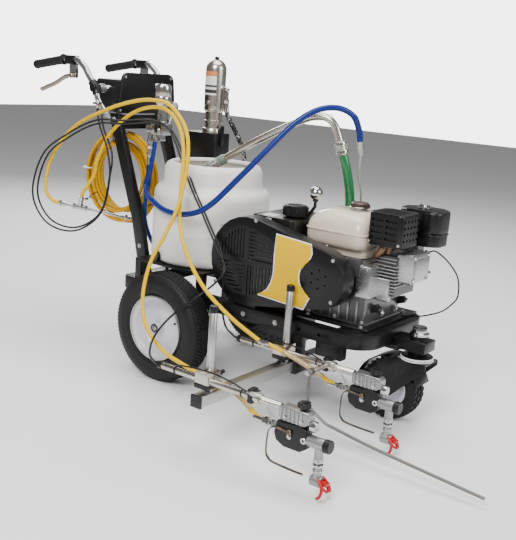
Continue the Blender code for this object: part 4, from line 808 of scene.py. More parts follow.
        shape = Shape().tube(smooth(pipe, 0.012), 0.0045, 12).rod(end + fall * 0.0005, end + fall * 0.05,
            0.0118)
        shape.turned([(0, 0), (0.0135, 0), (0.014, 0.002), (0.014, 0.013), (0, 0.013)], end + fall * 0.012,
            fall, 6)
        shape.place("return_pipe", "root", PLAIN_STEEL, ("pressure_pipe",))

    def spring(self, name: str, path: list[Vector]) -> None:
        """Wind a blue wire guard round a stretch of hose.

        Args:
            name: The piece's name.
            path: The stretch of the hose's centre line.
        """
        line = even(path, 0.0009)
        side = None
        coil = []
        for k, (a, b) in enumerate(zip(line, line[1:])):
            along = (b - a).normalized()
            side = across(along)[0] if side is None else (side - along * side.dot(along)).normalized()
            turn = k * 2 * pi * 0.0009 / 0.0062
            coil.append(a + (side * cos(turn) + along.cross(side) * sin(turn)) * (self.blue + 0.0011))
        Shape().tube(coil, 0.0011, 6).place(name, "root", HOSE_BLUE, angle=80)

    def cables(self) -> None:
        """Make the black control cables from the levers to the guns."""
        stop = (-0.478, -0.222)
        gun = ((0.118, -0.4, 0.285), (0.13, -0.48, 0.25), (0.185, -0.57, 0.238), (0.25, -0.645, 0.231),
            (0.312, -0.685, 0.23), (0.3297, -0.685, 0.23))
        route = [(*stop, 0.9547), (*stop, 0.943), (-0.452, -0.232, 0.89), (-0.39, -0.246, 0.8),
            (-0.358, -0.262, 0.69), (-0.387, -0.28, 0.555), (-0.51, -0.3, 0.472), (-0.64, -0.33, 0.49),
            (-0.708, -0.345, 0.6), (-0.66, -0.335, 0.759), (-0.54, -0.318, 0.85), (-0.4, -0.303, 0.915),
            (-0.3, -0.258, 0.924), (-0.215, -0.205, 0.934), (-0.15, -0.185, 0.918), (-0.1, -0.184, 0.863),
            (-0.045, -0.188, 0.77), (0.005, -0.2, 0.705), (0.068, -0.218, 0.64), (0.13, -0.24, 0.58),
            (0.19, -0.258, 0.52), (0.248, -0.28, 0.46), (0.228, -0.308, 0.41), (0.18, -0.362, 0.35)]
        self.cable_run("cable", [*route, *gun], lambda p: p.y < -0.44, "arm_outer", ("control_cable",))
        heart = Vector((-0.53, -0.3, 0.7))
        loop = [Vector(p).lerp(heart, 0.06) + Vector((0.004, 0.01, 0.0)) for p in route[5:13]]
        front = [Vector(p) + Vector((0.014, 0.008, -0.01)) for p in route[13:21]]
        second = [(-0.464, -0.214, 0.9547), (-0.464, -0.214, 0.94), (-0.44, -0.222, 0.88),
            (-0.376, -0.236, 0.79), (-0.366, -0.254, 0.7), *loop, *front, (0.236, -0.272, 0.44),
            (0.246, -0.284, 0.34), (0.27, -0.287, 0.262), (0.312, -0.285, 0.232), (0.3297, -0.285, 0.23)]
        self.cable_run("second_cable", second, lambda p: p.z < 0.43, "arm_inner", ())

    def cable_run(self, name: str, route: list, past: Callable[[Vector], bool], arm: str,
            nodes: tuple[str, ...]) -> None:
        """Make one control cable, in a part from the frame to the carrier and a part on to the gun's arm.

        Args:
            name: The cable's name.
            route: The points that it passes.
            past: Whether a point lies on the second part.
            arm: The arm's body.
            nodes: The solids that the cable replaces.
        """
        whole = [Vector(route[0]), *smooth(route[1:-1], 0.008), Vector(route[-1])]
        cut = next(k for k, p in enumerate(whole) if k > len(whole) * 0.7 and past(p))
        main, tail = whole[:cut + 1], whole[cut:]
        for part, path, bodies, span in (("main", main, ("root", "carrier"),
                (Vector((0.2, -0.3, 0.4)), main[-1])), ("tail", tail, ("carrier", arm),
                (tail[0], tail[-1]))):
            piece = Shape().tube(path, self.cable, 10).place(f"{name}_{part}", "", PLASTIC, nodes, angle=70)
            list(bodies)
            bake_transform(piece)
            moved = [ORIGIN + p for p in path]
            tuple(moved[0])
            length_of(path)

    def coil(self, end: Vector) -> None:
        """Wind the spare hose into the hanging coil, from the tee up to the filter.

        Args:
            end: The tee's far end.
        """
        x, y, z = self.coil_centre
        steps = 36
        spots = []
        first = -55.0
        per_layer = self.coil_turns / 2
        for k in range(self.coil_turns * steps + 1):
            turn = k / steps
            layer = min(1.0, max(0.0, turn - per_layer + 0.5))
            row = turn if turn <= per_layer else 2 * per_layer - turn
            angle = radians(first + 360 * turn)
            fan = (0.005 - 0.008 * layer) * sin(angle + 2.2 * row) + 0.004 * sin(2 * angle + row)
            radius = 0.183 - 0.043 * layer + fan
            spots.append(Vector((x + radius * cos(angle), y - 0.03 + 0.0148 * row,
                z + radius * sin(angle))))
        joined = [end, end + Vector((0.006, 0.012, 0.012)), *spots[2:]]
        Hose("hose_windings", joined, self.yellow, COIL_GOLD, ("hose_coil",), lay="coiled").build()
        ties = Shape()
        for angle in (95, 215, 330):
            t = radians(angle)
            way = Vector((cos(t), 0, sin(t)))
            centre = Vector((x, y, z)) + way * 0.17
            loop = [centre + way * a + Y * b for a, b in rounded_box((-0.03, -0.04), (0.022, 0.042), 0.02)]
            ties.tube(loop, 0.0022, 8, loop=True)
            ties.block(centre + way * 0.028 - Vector((0.004, 0.046, 0.004)),
                centre + way * 0.028 + Vector((0.004, -0.034, 0.004)), 0.001)
        ties.place("coil_ties", "root", PLASTIC)
        left = Vector((x - 0.17, y, z + 0.02))
        loop = [left + X * a + Y * b for a, b in rounded_box((-0.03, -0.04), (0.022, 0.042), 0.02)]
        Shape().tube(loop, 0.0028, 8, loop=True).place("coil_strap", "root", WHITE)


# ---------------------------------------------------------------- chassis and wheels


@dataclass
class RearWheel:
    """One rear wheel: a tyre with fine tread blocks on a dished rim."""

    side: int
    radius: float = 0.203
    half: float = 0.0525
    track: float = 0.625
    blocks: int = 88

    def build(self) -> None:
        """Make the tyre, the rim and the axle's end."""
        name = "right" if self.side < 0 else "left"
        body = f"wheel_{name}"
        self.centre = (0, self.side * self.track / 2, self.radius)
        out = (0, self.side, 0)
        wall = [(0.1195, 0.0385), (0.1225, 0.043), (0.128, 0.0465), (0.138, 0.0498), (0.141, 0.0512),
            (0.144, 0.0506), (0.158, self.half), (0.168, 0.052), (0.17, 0.0515), (0.178, 0.05),
            (0.187, 0.0468), (0.193, 0.042), (0.1965, 0.036), (0.1985, 0.025), (0.1995, 0.0)]
        section = wall + [(r, -h) for r, h in wall[-2::-1]] + [(0.1185, -0.034), (0.1185, 0.034)]
        tyre = Shape().turned(section, self.centre, out, 96, loop=True)
        self.tread(tyre)
        tyre.place(f"tyre_{name}", body, TYRE, (f"rear_tyre_{name}",), angle=30)
        dish = [(0.0105, 0.047), (0.017, 0.047), (0.0185, 0.045), (0.0185, 0.014), (0.022, 0.01),
            (0.048, 0.005), (0.056, 0.0075), (0.064, 0.0045), (0.084, -0.001), (0.093, 0.004),
            (0.099, 0.018), (0.103, 0.033), (0.108, 0.0385), (0.114, 0.04), (0.1175, 0.0445),
            (0.1205, 0.048), (0.121, 0.05), (0.1185, 0.05), (0.118, 0.046)]
        back = [(0.116, 0.036), (0.115, -0.036), (0.118, -0.048), (0.1205, -0.05), (0.118, -0.05),
            (0.111, -0.04), (0.108, -0.033), (0.097, -0.004), (0.084, -0.006), (0.0185, 0.004),
            (0.0185, -0.045), (0.0105, -0.047)]
        Shape().turned(dish + back, self.centre, out, 96, loop=True).place(f"rim_{name}", body, RIM,
            (f"rear_rim_{name}",), angle=42)
        centre = Vector(self.centre)
        lip = Shape().band(centre + Y * self.side * 0.0492, out, 0.115, 0.1212, 0.003, 96)
        lip.place(f"rim_lip_{name}", body, PLAIN_STEEL, angle=50)
        hub = Shape().band(centre + Y * self.side * 0.047, out, 0.011, 0.017, 0.005, 40)
        hub.place(f"hub_{name}", body, PLASTIC)
        valve = centre + Vector((0.08, 0, 0.03))
        stem = Shape().rod(valve, valve + Y * self.side * 0.022, 0.0035,
            12).rod(valve + Y * self.side * 0.016, valve + Y * self.side * 0.03, 0.0045, 12)
        stem.place(f"valve_{name}", body, PLASTIC)

    def tread(self, tyre: Shape) -> None:
        """Add staggered rows of tread blocks and shoulder lugs to a tyre."""
        spot = Vector(self.centre)
        rows = ((-0.039, 0.1925, 0.004, 10.0), (-0.0265, 0.1985, 0.0048, 0.0),
            (-0.0135, 0.199, 0.0048, 0.0), (0.0, 0.1992, 0.0048, 0.0), (0.0135, 0.199, 0.0048, 0.0),
            (0.0265, 0.1985, 0.0048, 0.0), (0.039, 0.1925, 0.004, -10.0))
        for n, (offset, low, half, lean) in enumerate(rows):
            top = low + 0.003 if lean == 0 else low + 0.0028
            for k in range(self.blocks):
                middle = 2 * pi * (k + 0.5 * (n % 2)) / self.blocks
                reach = 2 * pi / self.blocks * 0.33
                rings = []
                for radius, grow in ((low - 0.004, 1.0), (top, 0.86)):
                    ring = []
                    for a, b in ((-1, -1), (1, -1), (1, 1), (-1, 1)):
                        t = middle + a * reach * grow + b * reach * 0.25
                        ring.append(spot + Vector((radius * cos(t), offset + b * half * grow,
                            radius * sin(t))))
                    rings.append(ring)
                tyre.rings(rings)


@dataclass
class Caster:
    """The swivelling front wheel with its fork, its bearing and its cap."""

    pivot_x: float = 0.875
    wheel_x: float = 0.795
    radius: float = 0.11
    lugs: int = 30

    def build(self) -> None:
        """Make the fork, the wheel and the fittings on them."""
        clad("caster_bracket", BLACK_COAT, 0.0015)
        clad("caster_fork", BLACK_COAT, 0.001)
        top = (self.pivot_x, 0, 0)
        cap = [(0, 0.3455), (0.018, 0.345), (0.0235, 0.342), (0.025, 0.338), (0.025, 0.3285),
            (0.029, 0.326), (0.033, 0.324), (0.033, 0.3165), (0.0318, 0.3165), (0.0318, 0.32), (0, 0.32)]
        Shape().turned([(r, h) for r, h in cap[:8]] + [(0, 0.3165)], top).place("swivel_cap", "root",
            CHROME)
        disc = Shape().band((*top[:2], 0.24), (0, 0, 1), 0.03, 0.0555, 0.006, 64)
        disc.band((*top[:2], 0.2335), (0, 0, 1), 0.04, 0.057, 0.0036, 64)
        disc.place("swivel_race", "caster", WHITE)
        fasteners = Shape()
        for y in (-0.0565, 0.0565):
            fasteners.bolt((self.wheel_x, y * 0.86, self.radius), (0, 1 if y > 0 else -1, 0), 0.0085)
        for a, b in ((-0.02, -0.043), (-0.02, 0.043), (-0.05, -0.043), (-0.05, 0.043)):
            fasteners.bolt((self.pivot_x + a, b * 0.75, 0.2318), (0, 0, 1), 0.0045)
        fasteners.place("caster_bolts", "caster", PLAIN_STEEL)
        centre = (self.wheel_x, 0, self.radius)
        wall = [(0.0668, 0.03), (0.071, 0.0345), (0.078, 0.0366), (0.09, 0.037), (0.099, 0.034),
            (0.1035, 0.028), (0.1055, 0.016), (0.106, 0.0)]
        tyre = Shape().turned(wall + [(r, -h) for r, h in wall[-2::-1]]
            + [(0.0665, -0.027), (0.0665, 0.027)], centre, (0, 1, 0), 80, loop=True)
        spot = Vector(centre)
        for n, (offset, low, half) in enumerate(((-0.0275, 0.101, 0.0065), (-0.0105, 0.1045, 0.0062),
                (0.0105, 0.1045, 0.0062), (0.0275, 0.101, 0.0065))):
            for k in range(self.lugs):
                middle = 2 * pi * (k + 0.5 * (n % 2)) / self.lugs
                reach = 2 * pi / self.lugs * 0.3
                rings = [[spot + Vector((r * cos(middle + a * reach * g + b * 0.03), offset + b * half * g,
                    r * sin(middle + a * reach * g + b * 0.03))) for a,
                    b in ((-1, -1), (1, -1), (1, 1), (-1, 1))] for r,
                    g in ((low - 0.004, 1.0), (low + 0.0052, 0.84))]
                tyre.rings(rings)
        tyre.place("tyre_caster", "caster_wheel", TYRE, ("caster_tyre",), angle=30)
        clad("caster_rim", RIM, 0.0012, 30)


@dataclass
class Chassis:
    """The welded frame with its platform, base, axle and bolts."""

    deck: float = 0.325

    def build(self) -> None:
        """Make the frame's pieces."""
        holes = Shape()
        for x in (0.54, 0.62):
            holes.rod((x, -0.24, 0.301), (x, -0.215, 0.301), 0.0065, 24)
        clad("chassis_frame", BLACK_COAT, 0.003, cut=holes)
        clad("hopper_platform", BLACK_COAT, 0.002)
        clad("engine_base", BLACK_COAT, 0.0015)
        clad("oil_cooler", BLACK_COAT, 0.0012)
        clad("rear_axle", PLAIN_STEEL, 0.001, 50)
        bolts = Shape()
        for x, y in ((-0.24, -0.203), (-0.24, 0.203), (0.115, -0.203), (0.115, 0.203), (0.215, 0.19),
                (0.725, 0.16)):
            bolts.bolt((x, y, self.deck), (0, 0, 1), 0.0065)
        for x, y in ((0.52, -0.148), (0.73, -0.148), (0.52, 0.15), (0.73, 0.15), (0.2, 0.0), (0.2, 0.08)):
            bolts.bolt((x, y, 0.3357), (0, 0, 1), 0.0065)
        for x in (0.3, 0.44):
            bolts.bolt((x, -0.2285, 0.301), (0, -1, 0), 0.006)
        bolts.place("frame_bolts", "root", PLAIN_STEEL)
        ends = Shape()
        for side in (-1, 1):
            ends.turned([(0, 0), (0.0085, 0), (0.0085, 0.003), (0.006, 0.005), (0, 0.0055)],
                (0, side * 0.353, 0.203), (0, side, 0), 24)
            ends.rod((-0.012, side * 0.349, 0.203), (0.012, side * 0.349, 0.203), 0.0014, 10)
        ends.place("axle_ends", "root", PLAIN_STEEL)
        welds = Shape()
        for x in (0.2, 0.24, 0.66, 0.7):
            for side in (-1, 1):
                line = [(x, side * 0.178, 0.279 + 0.004 * k) for k in range(12)]
                welds.tube([Vector(p) + Vector((0.0006 * (k % 2), 0, 0)) for k, p in enumerate(line)],
                    0.0028, 8)
        welds.place("frame_welds", "root", BLACK_COAT, angle=80)


# ---------------------------------------------------------------- paint side


@dataclass
class Hopper:
    """The milky two-tier tank with its lip, moulded ribs and level marks."""

    centre: Point = (-0.059, 0, 0.4058)

    def build(self) -> None:
        """Make the tank and its fittings."""
        outside = [(0, 0), (0.198, 0), (0.212, 0.003), (0.221, 0.01), (0.2255, 0.022), (0.2265, 0.034),
            (0.2255, 0.12), (0.2262, 0.124), (0.2255, 0.128), (0.2245, 0.25), (0.2225, 0.266),
            (0.2165, 0.278), (0.2075, 0.2855), (0.2, 0.2895), (0.1945, 0.2945), (0.1915, 0.302),
            (0.19, 0.312), (0.1888, 0.344), (0.1875, 0.354), (0.184, 0.364), (0.178, 0.372), (0.169, 0.377),
            (0.164, 0.3788), (0.1595, 0.378), (0.1565, 0.3752), (0.1552, 0.37)]
        inside = [(0.1552, 0.366), (0.16, 0.3695), (0.166, 0.369), (0.174, 0.364), (0.1805, 0.354),
            (0.1838, 0.335), (0.185, 0.302), (0.192, 0.287), (0.206, 0.278), (0.2155, 0.266),
            (0.2195, 0.25), (0.221, 0.04), (0.214, 0.012), (0.2, 0.006), (0, 0.0055)]
        Shape().turned(outside + inside, self.centre, steps=112).place("tank_shell", "root", MILKY,
            ("hopper",), angle=50)
        marks = Shape()
        spot = Vector(self.centre)
        for k in range(9):
            turn = radians(232 if k % 2 else 230)
            for step in range(3 if k % 2 else 5):
                t = turn + step * 0.03
                way = Vector((cos(t), sin(t), 0))
                low = spot + way * 0.224 + Z * (0.05 + 0.022 * k)
                marks.rod(low, low + way * 0.0026, 0.0026, 10, 0.0004)
        marks.place("tank_level_marks", "root", MILKY)
        outlet = Shape().rod((-0.059, -0.224, 0.432), (-0.059, -0.236, 0.432), 0.016, 24)
        outlet.turned([(0, 0), (0.019, 0), (0.02, 0.002), (0.02, 0.008), (0, 0.008)],
            (-0.059, -0.232, 0.432), (0, -1, 0), 6)
        outlet.turn(-18, (0, 0, 1), self.centre)
        outlet.place("tank_drain_plug", "root", PLASTIC)


@dataclass
class PaintPump:
    """The stainless pump column with its label, elbow and braided hose."""

    x: float = -0.24
    y: float = 0.2
    head: float = 0.042

    def build(self) -> None:
        """Make the column, the bracket and the valve."""
        spot = (self.x, self.y, 0)
        dome = [(self.head * cos(radians(a)), 1.132 + self.head * sin(radians(a))) for a in range(0, 88, 8)]
        column = [(0, 0.8773), (0.045, 0.8773), (0.045, 0.893), (0.0435, 0.8955), (0.036, 0.8975),
            (0.036, 0.918), (0.0385, 0.92), (0.0385, 0.928), (0.036, 0.93), (0.036, 0.962), (0.0405, 0.967),
            (0.042, 0.973), (0.042, 0.984), (0.041, 0.985), (0.041, 0.988), (0.042, 0.989), *dome,
            (0.0, 1.1735)]
        Shape().turned(column, spot, steps=64).place("pump_column", "root", STAINLESS, ("pump_cylinder",))
        x, y = self.x, self.y
        elbow = [(x + 0.03, y, 1.06), (x + 0.05, y, 1.06), (x + 0.0595, y, 1.0565), (x + 0.062, y, 1.047),
            (x + 0.062, y, 1.0)]
        pipe = Shape().tube(smooth(elbow, 0.004), 0.0085, 18)
        for low, high, size in ((1.052, 1.06, 0.0115), (1.0, 1.018, 0.0115)):
            pipe.turned([(0, 0), (size, 0), (size + 0.0006, 0.001), (size + 0.0006, high - low),
                (0, high - low)], (x + 0.062, y, low), (0, 0, 1), 6)
        pipe.turned([(0, 0), (0.013, 0), (0.013, 0.01), (0, 0.01)], (x + 0.038, y, 1.06), (1, 0, 0), 6)
        pipe.place("pump_elbow", "root", CHROME)
        plug = Shape().turned([(0, 1.1725), (0.0085, 1.172), (0.009, 1.174), (0.009, 1.1805),
            (0.007, 1.183), (0, 1.1835)], spot)
        plug.place("pump_plug", "root", PLASTIC)
        self.label()
        clad("pump_bracket", BLACK_COAT, 0.003)
        clad("pump_valve_lever", PLASTIC, 0.0015)
        fittings = Shape()
        for a in range(0, 360, 60):
            t = radians(a + 20)
            fittings.bolt((x + 0.0405 * cos(t), y + 0.0405 * sin(t), 0.895), (0, 0, 1), 0.003)
        fittings.bolt((x, y - 0.0415, 1.0), (0, -1, 0), 0.0065).bolt((x - 0.0415, y, 1.12), (-1, 0, 0),
            0.005)
        fittings.place("pump_bolts", "root", PLAIN_STEEL)
        hose = [(x + 0.062, y, 0.9995), (x + 0.062, y, 0.985), (-0.17, 0.206, 0.95), (-0.148, 0.22, 0.905),
            (-0.122, 0.236, 0.85), (-0.106, 0.248, 0.79), (-0.104, 0.256, 0.7), (-0.125, 0.258, 0.6),
            (-0.16, 0.254, 0.5), (-0.2, 0.238, 0.42), (-0.2205, 0.226, 0.37), (-0.222, 0.222, 0.345),
            (-0.222, 0.222, 0.3275)]
        path = Hose("braided_line", hose, 0.0095, BRAID).build()
        ferrule = Shape()
        for part, size in ((path[:4], 0.0115), (path[-4:], 0.0115)):
            ferrule.tube(part, size, 20)
        ferrule.place("braided_ferrules", "root", CHROME)

    def label(self) -> None:
        """Wrap the plain coloured label round the head."""
        bands = (("orange", ORANGE, 1.106, 1.124), ("white", WHITE, 1.03, 1.105),
            ("black_high", BLACK_INK, 1.062, 1.07), ("black_low", BLACK_INK, 1.038, 1.052))
        for name, finish, low, high in bands:
            radius = self.head + (0.0009 if name.startswith("black") else 0.0005)
            rings = []
            for k in range(25):
                t = radians(185 + 130 * k / 24)
                way = Vector((cos(t), sin(t), 0))
                spot = Vector((self.x, self.y, 0))
                rings.append([spot + way * r + Z * h for r, h in ((self.head - 0.0002, low), (radius, low),
                    (radius, high), (self.head - 0.0002, high))])
            Shape().rings(rings).place(f"pump_label_{name}", "root", finish)


@dataclass
class Manifold:
    """The chrome paint filter with its cup, knob, valve and fittings."""

    x: float = -0.287
    y: float = -0.06
    low: float = 0.845

    def build(self) -> None:
        """Make the filter's pieces."""
        x, y, low = self.x, self.y, self.low
        cup = [(0, low + 0.068), (0.0225, low + 0.068), (0.0225, low + 0.074), (0.02, low + 0.076),
            (0.0205, low + 0.128), (0.0245, low + 0.134), (0.03, low + 0.142), (0.0335, low + 0.152),
            (0.0345, low + 0.156), (0.0345, low + 0.17), (0.0335, low + 0.172), (0.0345, low + 0.174),
            (0.0345, low + 0.206), (0.0325, low + 0.214), (0.026, low + 0.2185), (0, low + 0.219)]
        body = Shape().turned(cup, (x, y, 0), steps=56)
        body.turned([(0, low), (0.0155, low), (0.02, low + 0.004), (0.02, low + 0.024), (0, low + 0.024)],
            (x, y, 0))
        body.block((x - 0.033, y - 0.028, low + 0.0235), (x + 0.033, y + 0.028, low + 0.067), 0.004, 3)
        body.block((x - 0.051, y - 0.0352, low + 0.031), (x - 0.017, y - 0.004, low + 0.059), 0.003, 3)
        body.rod((x - 0.036, y - 0.022, low + 0.051), (x - 0.036, y - 0.022, low - 0.098), 0.0095, 24)
        for z in (-0.01, -0.034, -0.062):
            body.turned([(0, 0), (0.0125, 0), (0.0135, 0.0015), (0.0135, 0.012), (0.0125, 0.0135),
                (0, 0.0135)], (x - 0.036, y - 0.022, low + z), (0, 0, 1), 6)
        body.band((x - 0.036, y - 0.022, low - 0.08), (0, 0, 1), 0.008, 0.0118, 0.03, 28)
        body.rod((x + 0.006, y - 0.02, low + 0.04), (x + 0.006, y - 0.0345, low + 0.04), 0.009)
        body.rod((x + 0.006, y - 0.034, low + 0.012), (x + 0.006, y - 0.034, low - 0.012), 0.0095)
        body.place("filter_body", "root", CHROME, ("filter_manifold",), angle=30)
        knob = Shape().turned([(0, 0.034), (0.012, 0.03), (0.0175, 0.02), (0.0185, 0.01), (0.016, 0.0),
            (0.009, -0.007), (0, -0.008)], (x + 0.012, y + 0.05, low + 0.12), (0, 0.2, 1), 32)
        knob.rod((x + 0.01, y + 0.03, low + 0.06), (x + 0.012, y + 0.05, low + 0.118), 0.006)
        knob.place("filter_knob", "root", ALUMINIUM)
        ring = Shape().band((x + 0.006, y - 0.0285, low + 0.04), (0, 1, 0), 0.0085, 0.013, 0.005, 32)
        ring.place("valve_ring", "root", PLAIN_STEEL)
        clad("drain_valve_lever", PLASTIC, 0.0012)


@dataclass
class Suction:
    """The suction strainer, its bent stainless tube and the green hose."""

    tube: float = 0.014
    hose: float = 0.018

    def build(self) -> None:
        """Make the suction line."""
        route = [(-0.075, -0.024, 0.761), (-0.064, -0.02, 0.768), (0.01, 0.0, 0.816), (0.144, 0.04, 0.902),
            (0.274, 0.09, 0.976), (0.33, 0.102, 0.994), (0.37, 0.112, 0.99), (0.398, 0.121, 0.962),
            (0.416, 0.126, 0.92), (0.436, 0.13, 0.866)]
        pipe = smooth(route, 0.008)
        Shape().tube(pipe, self.tube, 28).place("suction_pipe", "root", STAINLESS, ("suction_tube",),
            angle=60)
        start, end = Vector((-0.125, -0.037, 0.726)), Vector((0.01, 0.0, 0.816))
        way = (end - start).normalized()
        size = (end - start).length
        screen = [(0, -0.002), (0.014, -0.002), (0.0178, 0.004), (0.0178, size * 0.74),
            (0.016, size * 0.76), (0, size * 0.76)]
        Shape().turned(screen, start, way, 40).place("suction_screen", "root", MESH)
        hoops = Shape()
        for share in (0.03, 0.26, 0.5, 0.73):
            hoops.band(start + way * size * share, way, 0.017, 0.0188, 0.006, 40)
        hoops.place("suction_hoops", "root", PLAIN_STEEL)
        collar = Shape().turned([(0.0145, 0), (0.0185, 0.001), (0.0185, 0.022), (0.0165, 0.026),
            (0.0145, 0.027)], start + way * size * 0.75, way, 40)
        collar.place("suction_collar", "root", COLLAR)
        low, top = Vector((0.436, 0.13, 0.862)), Vector((0.418, 0.1265, 0.914))
        down = (low - top).normalized()
        cuff = Shape().turned([(0.015, 0), (0.0205, 0.001), (0.0222, 0.005), (0.0222, 0.048),
            (0.0205, 0.053), (0.015, 0.054)], top, down, 40)
        cuff.place("suction_cuff", "root", CLEAR)
        bands = Shape()
        for reach in (0.012, 0.042):
            bands.band(top + down * reach, down, 0.0222, 0.0236, 0.008, 40)
            screw = top + down * reach - Y * 0.0245
            bands.rod(screw - X * 0.008, screw + X * 0.008, 0.0034, 12)
        bands.place("suction_bands", "root", CHROME)
        line = [low + down * 0.0003, low + down * 0.012, (0.449, 0.138, 0.815), (0.458, 0.15, 0.76),
            (0.464, 0.16, 0.69), (0.462, 0.161, 0.6), (0.445, 0.152, 0.49), (0.424, 0.142, 0.42),
            (0.42, 0.14, 0.3823), (0.42, 0.14, 0.3706)]
        path = [Vector(line[0]), *smooth(line[1:-1], 0.008), Vector(line[-1])]
        Shape().tube(path, self.hose, 28).place("suction_line", "root", HOSE_GREEN, ("suction_hose",),
            angle=60)
        foot = Shape().band((0.42, 0.14, 0.385), (0, 0, 1), 0.018, 0.02, 0.01, 36)
        foot.place("suction_foot_band", "root", CHROME)


# ---------------------------------------------------------------- drive and engine


@dataclass
class Drive:
    """The oil reservoir, the belt guard with its louvres, and the yellow panel."""

    big: tuple[float, float] = (0.297, 0.491)
    small: tuple[float, float] = (0.598, 0.485)
    face: float = -0.23

    def build(self) -> None:
        """Make the drive side's pieces."""
        clad("belt_guard", BLACK_COAT, 0.0012, cut=self.openings())
        for name in ("pump_pulley", "engine_pulley"):
            clad(name, ALUMINIUM, 0.0008, 50)
        clad("drive_belt", RUBBER, 0.0005, 60)
        self.panel()
        self.reservoir()
        bolts = Shape()
        for x, z in ((0.165, 0.395), (0.18, 0.6), (0.33, 0.64), (0.655, 0.42), (0.65, 0.56)):
            bolts.bolt((x, self.face, z), (0, -1, 0), 0.0042)
        bolts.place("guard_bolts", "root", PLAIN_STEEL)

    def openings(self) -> Shape:
        """Return the louvres in four fields and the ring of small holes, as one cutter."""
        cutter = Shape()
        cx, cz = self.big
        low, high = self.face - 0.004, self.face + 0.0036
        reach, gap, slot, pitch = 0.118, 0.01, 0.0052, 0.0135
        for sx in (-1, 1):
            for sz in (-1, 1):
                upright = sx * sz < 0
                for k in range(8):
                    off = gap + pitch * k + slot / 2
                    far = (reach**2 - off**2) ** 0.5 if off < reach else 0.0
                    if far < gap + 0.012:
                        continue
                    along, other = sorted((gap, far)), sorted((off - slot / 2, off + slot / 2))
                    xs, zs = (other, along) if upright else (along, other)
                    xs, zs = sorted(cx + sx * v for v in xs), sorted(cz + sz * v for v in zs)
                    if xs[0] > 0.414:
                        continue
                    end = min(xs[1], 0.414)
                    cutter.plate([(xs[0], zs[0]), (end, zs[0]), (end, zs[1]), (xs[0], zs[1])], "XZ", low,
                        high, 0)
        for k in range(6):
            t = radians(60 * k + 30)
            x, z = 0.6 + 0.031 * cos(t), 0.487 + 0.031 * sin(t)
            cutter.rod((x, low, z), (x, high, z), 0.0036, 20, 0.0002)
        cutter.rod((0.6, low, 0.487), (0.6, high, 0.487), 0.0028, 16, 0.0002)
        return cutter

    def panel(self) -> None:
        """Make the flared yellow panel with its white border."""
        cx, cz = self.small
        left = [(0.42, 0.612), (0.4165, 0.54), (0.418, 0.472), (0.411, 0.44), (0.396, 0.412),
            (0.358, 0.384)]
        outline = [*left, (0.552, 0.372), (0.571, 0.412), *arc((cx, cz), 0.072, 250, 118, 18),
            (0.571, 0.568), (0.564, 0.6005)]
        middle = Vector((sum(p[0] for p in outline) / len(outline),
            sum(p[1] for p in outline) / len(outline)))
        Shape().plate(outline, "XZ", self.face - 0.0022, self.face - 0.0002, 0.0004).place("panel_border",
            "root", WHITE, ("guard_panel",))
        inset = []
        count = len(outline)
        for k, p in enumerate(outline):
            before, after = Vector(outline[k - 1]), Vector(outline[(k + 1) % count])
            way = (after - before).normalized()
            normal = Vector((-way.y, way.x))
            if normal.dot(middle - Vector(p)) < 0:
                normal = -normal
            inset.append(tuple(Vector(p) + normal * 0.0042))
        Shape().plate(inset, "XZ", self.face - 0.0034, self.face - 0.0021, 0.0004).place("panel_face",
            "root", YELLOW)

    def reservoir(self) -> None:
        """Make the oil tank with its ribbed cap, its gauge and its plain label."""
        clad("reservoir", BRONZE, 0.003)
        spot = Vector((0.376, -0.06, 0))
        ribs = [(0.044 + 0.0024 * (k % 2), 360 * k / 72) for k in range(72)]
        outline = [(spot.x + r * cos(radians(a)), spot.y + r * sin(radians(a))) for r, a in ribs]
        cap = Shape().plate(outline, "XY", 0.652, 0.683, 0.001)
        cap.turned([(0, 0.68), (0.04, 0.6815), (0.04, 0.6875), (0.03, 0.689), (0.028, 0.687), (0, 0.6865)],
            spot)
        cap.place("reservoir_cap_ribbed", "oil_cap", PLASTIC, ("reservoir_cap",), angle=30)
        gauge = Vector((0.455, -0.06, 0))
        stem = Shape().rod(gauge + Z * 0.69, gauge + Z * 0.722,
            0.0055).turned([(0, 0), (0.0095, 0), (0.01, 0.001), (0.01, 0.009), (0, 0.009)],
            gauge + Z * 0.712, (0, 0, 1), 6)
        stem.rod((0.418, -0.06, 0.64), (0.455, -0.06, 0.694), 0.006)
        stem.place("gauge_stem", "root", PLASTIC)
        ball = [(0.024 * cos(radians(a)), 0.742 + 0.024 * sin(radians(a))) for a in range(-80, 81, 8)]
        Shape().turned([(0, 0.718), *ball, (0, 0.766)], gauge, steps=40).place("gauge_ball", "root", CHROME)
        label = Shape().block((0.262, -0.141, 0.585), (0.33, -0.14, 0.64), 0.0003)
        label.block((0.27, -0.12, 0.645), (0.325, -0.07, 0.646), 0.0003)
        label.place("reservoir_label", "root", WHITE)


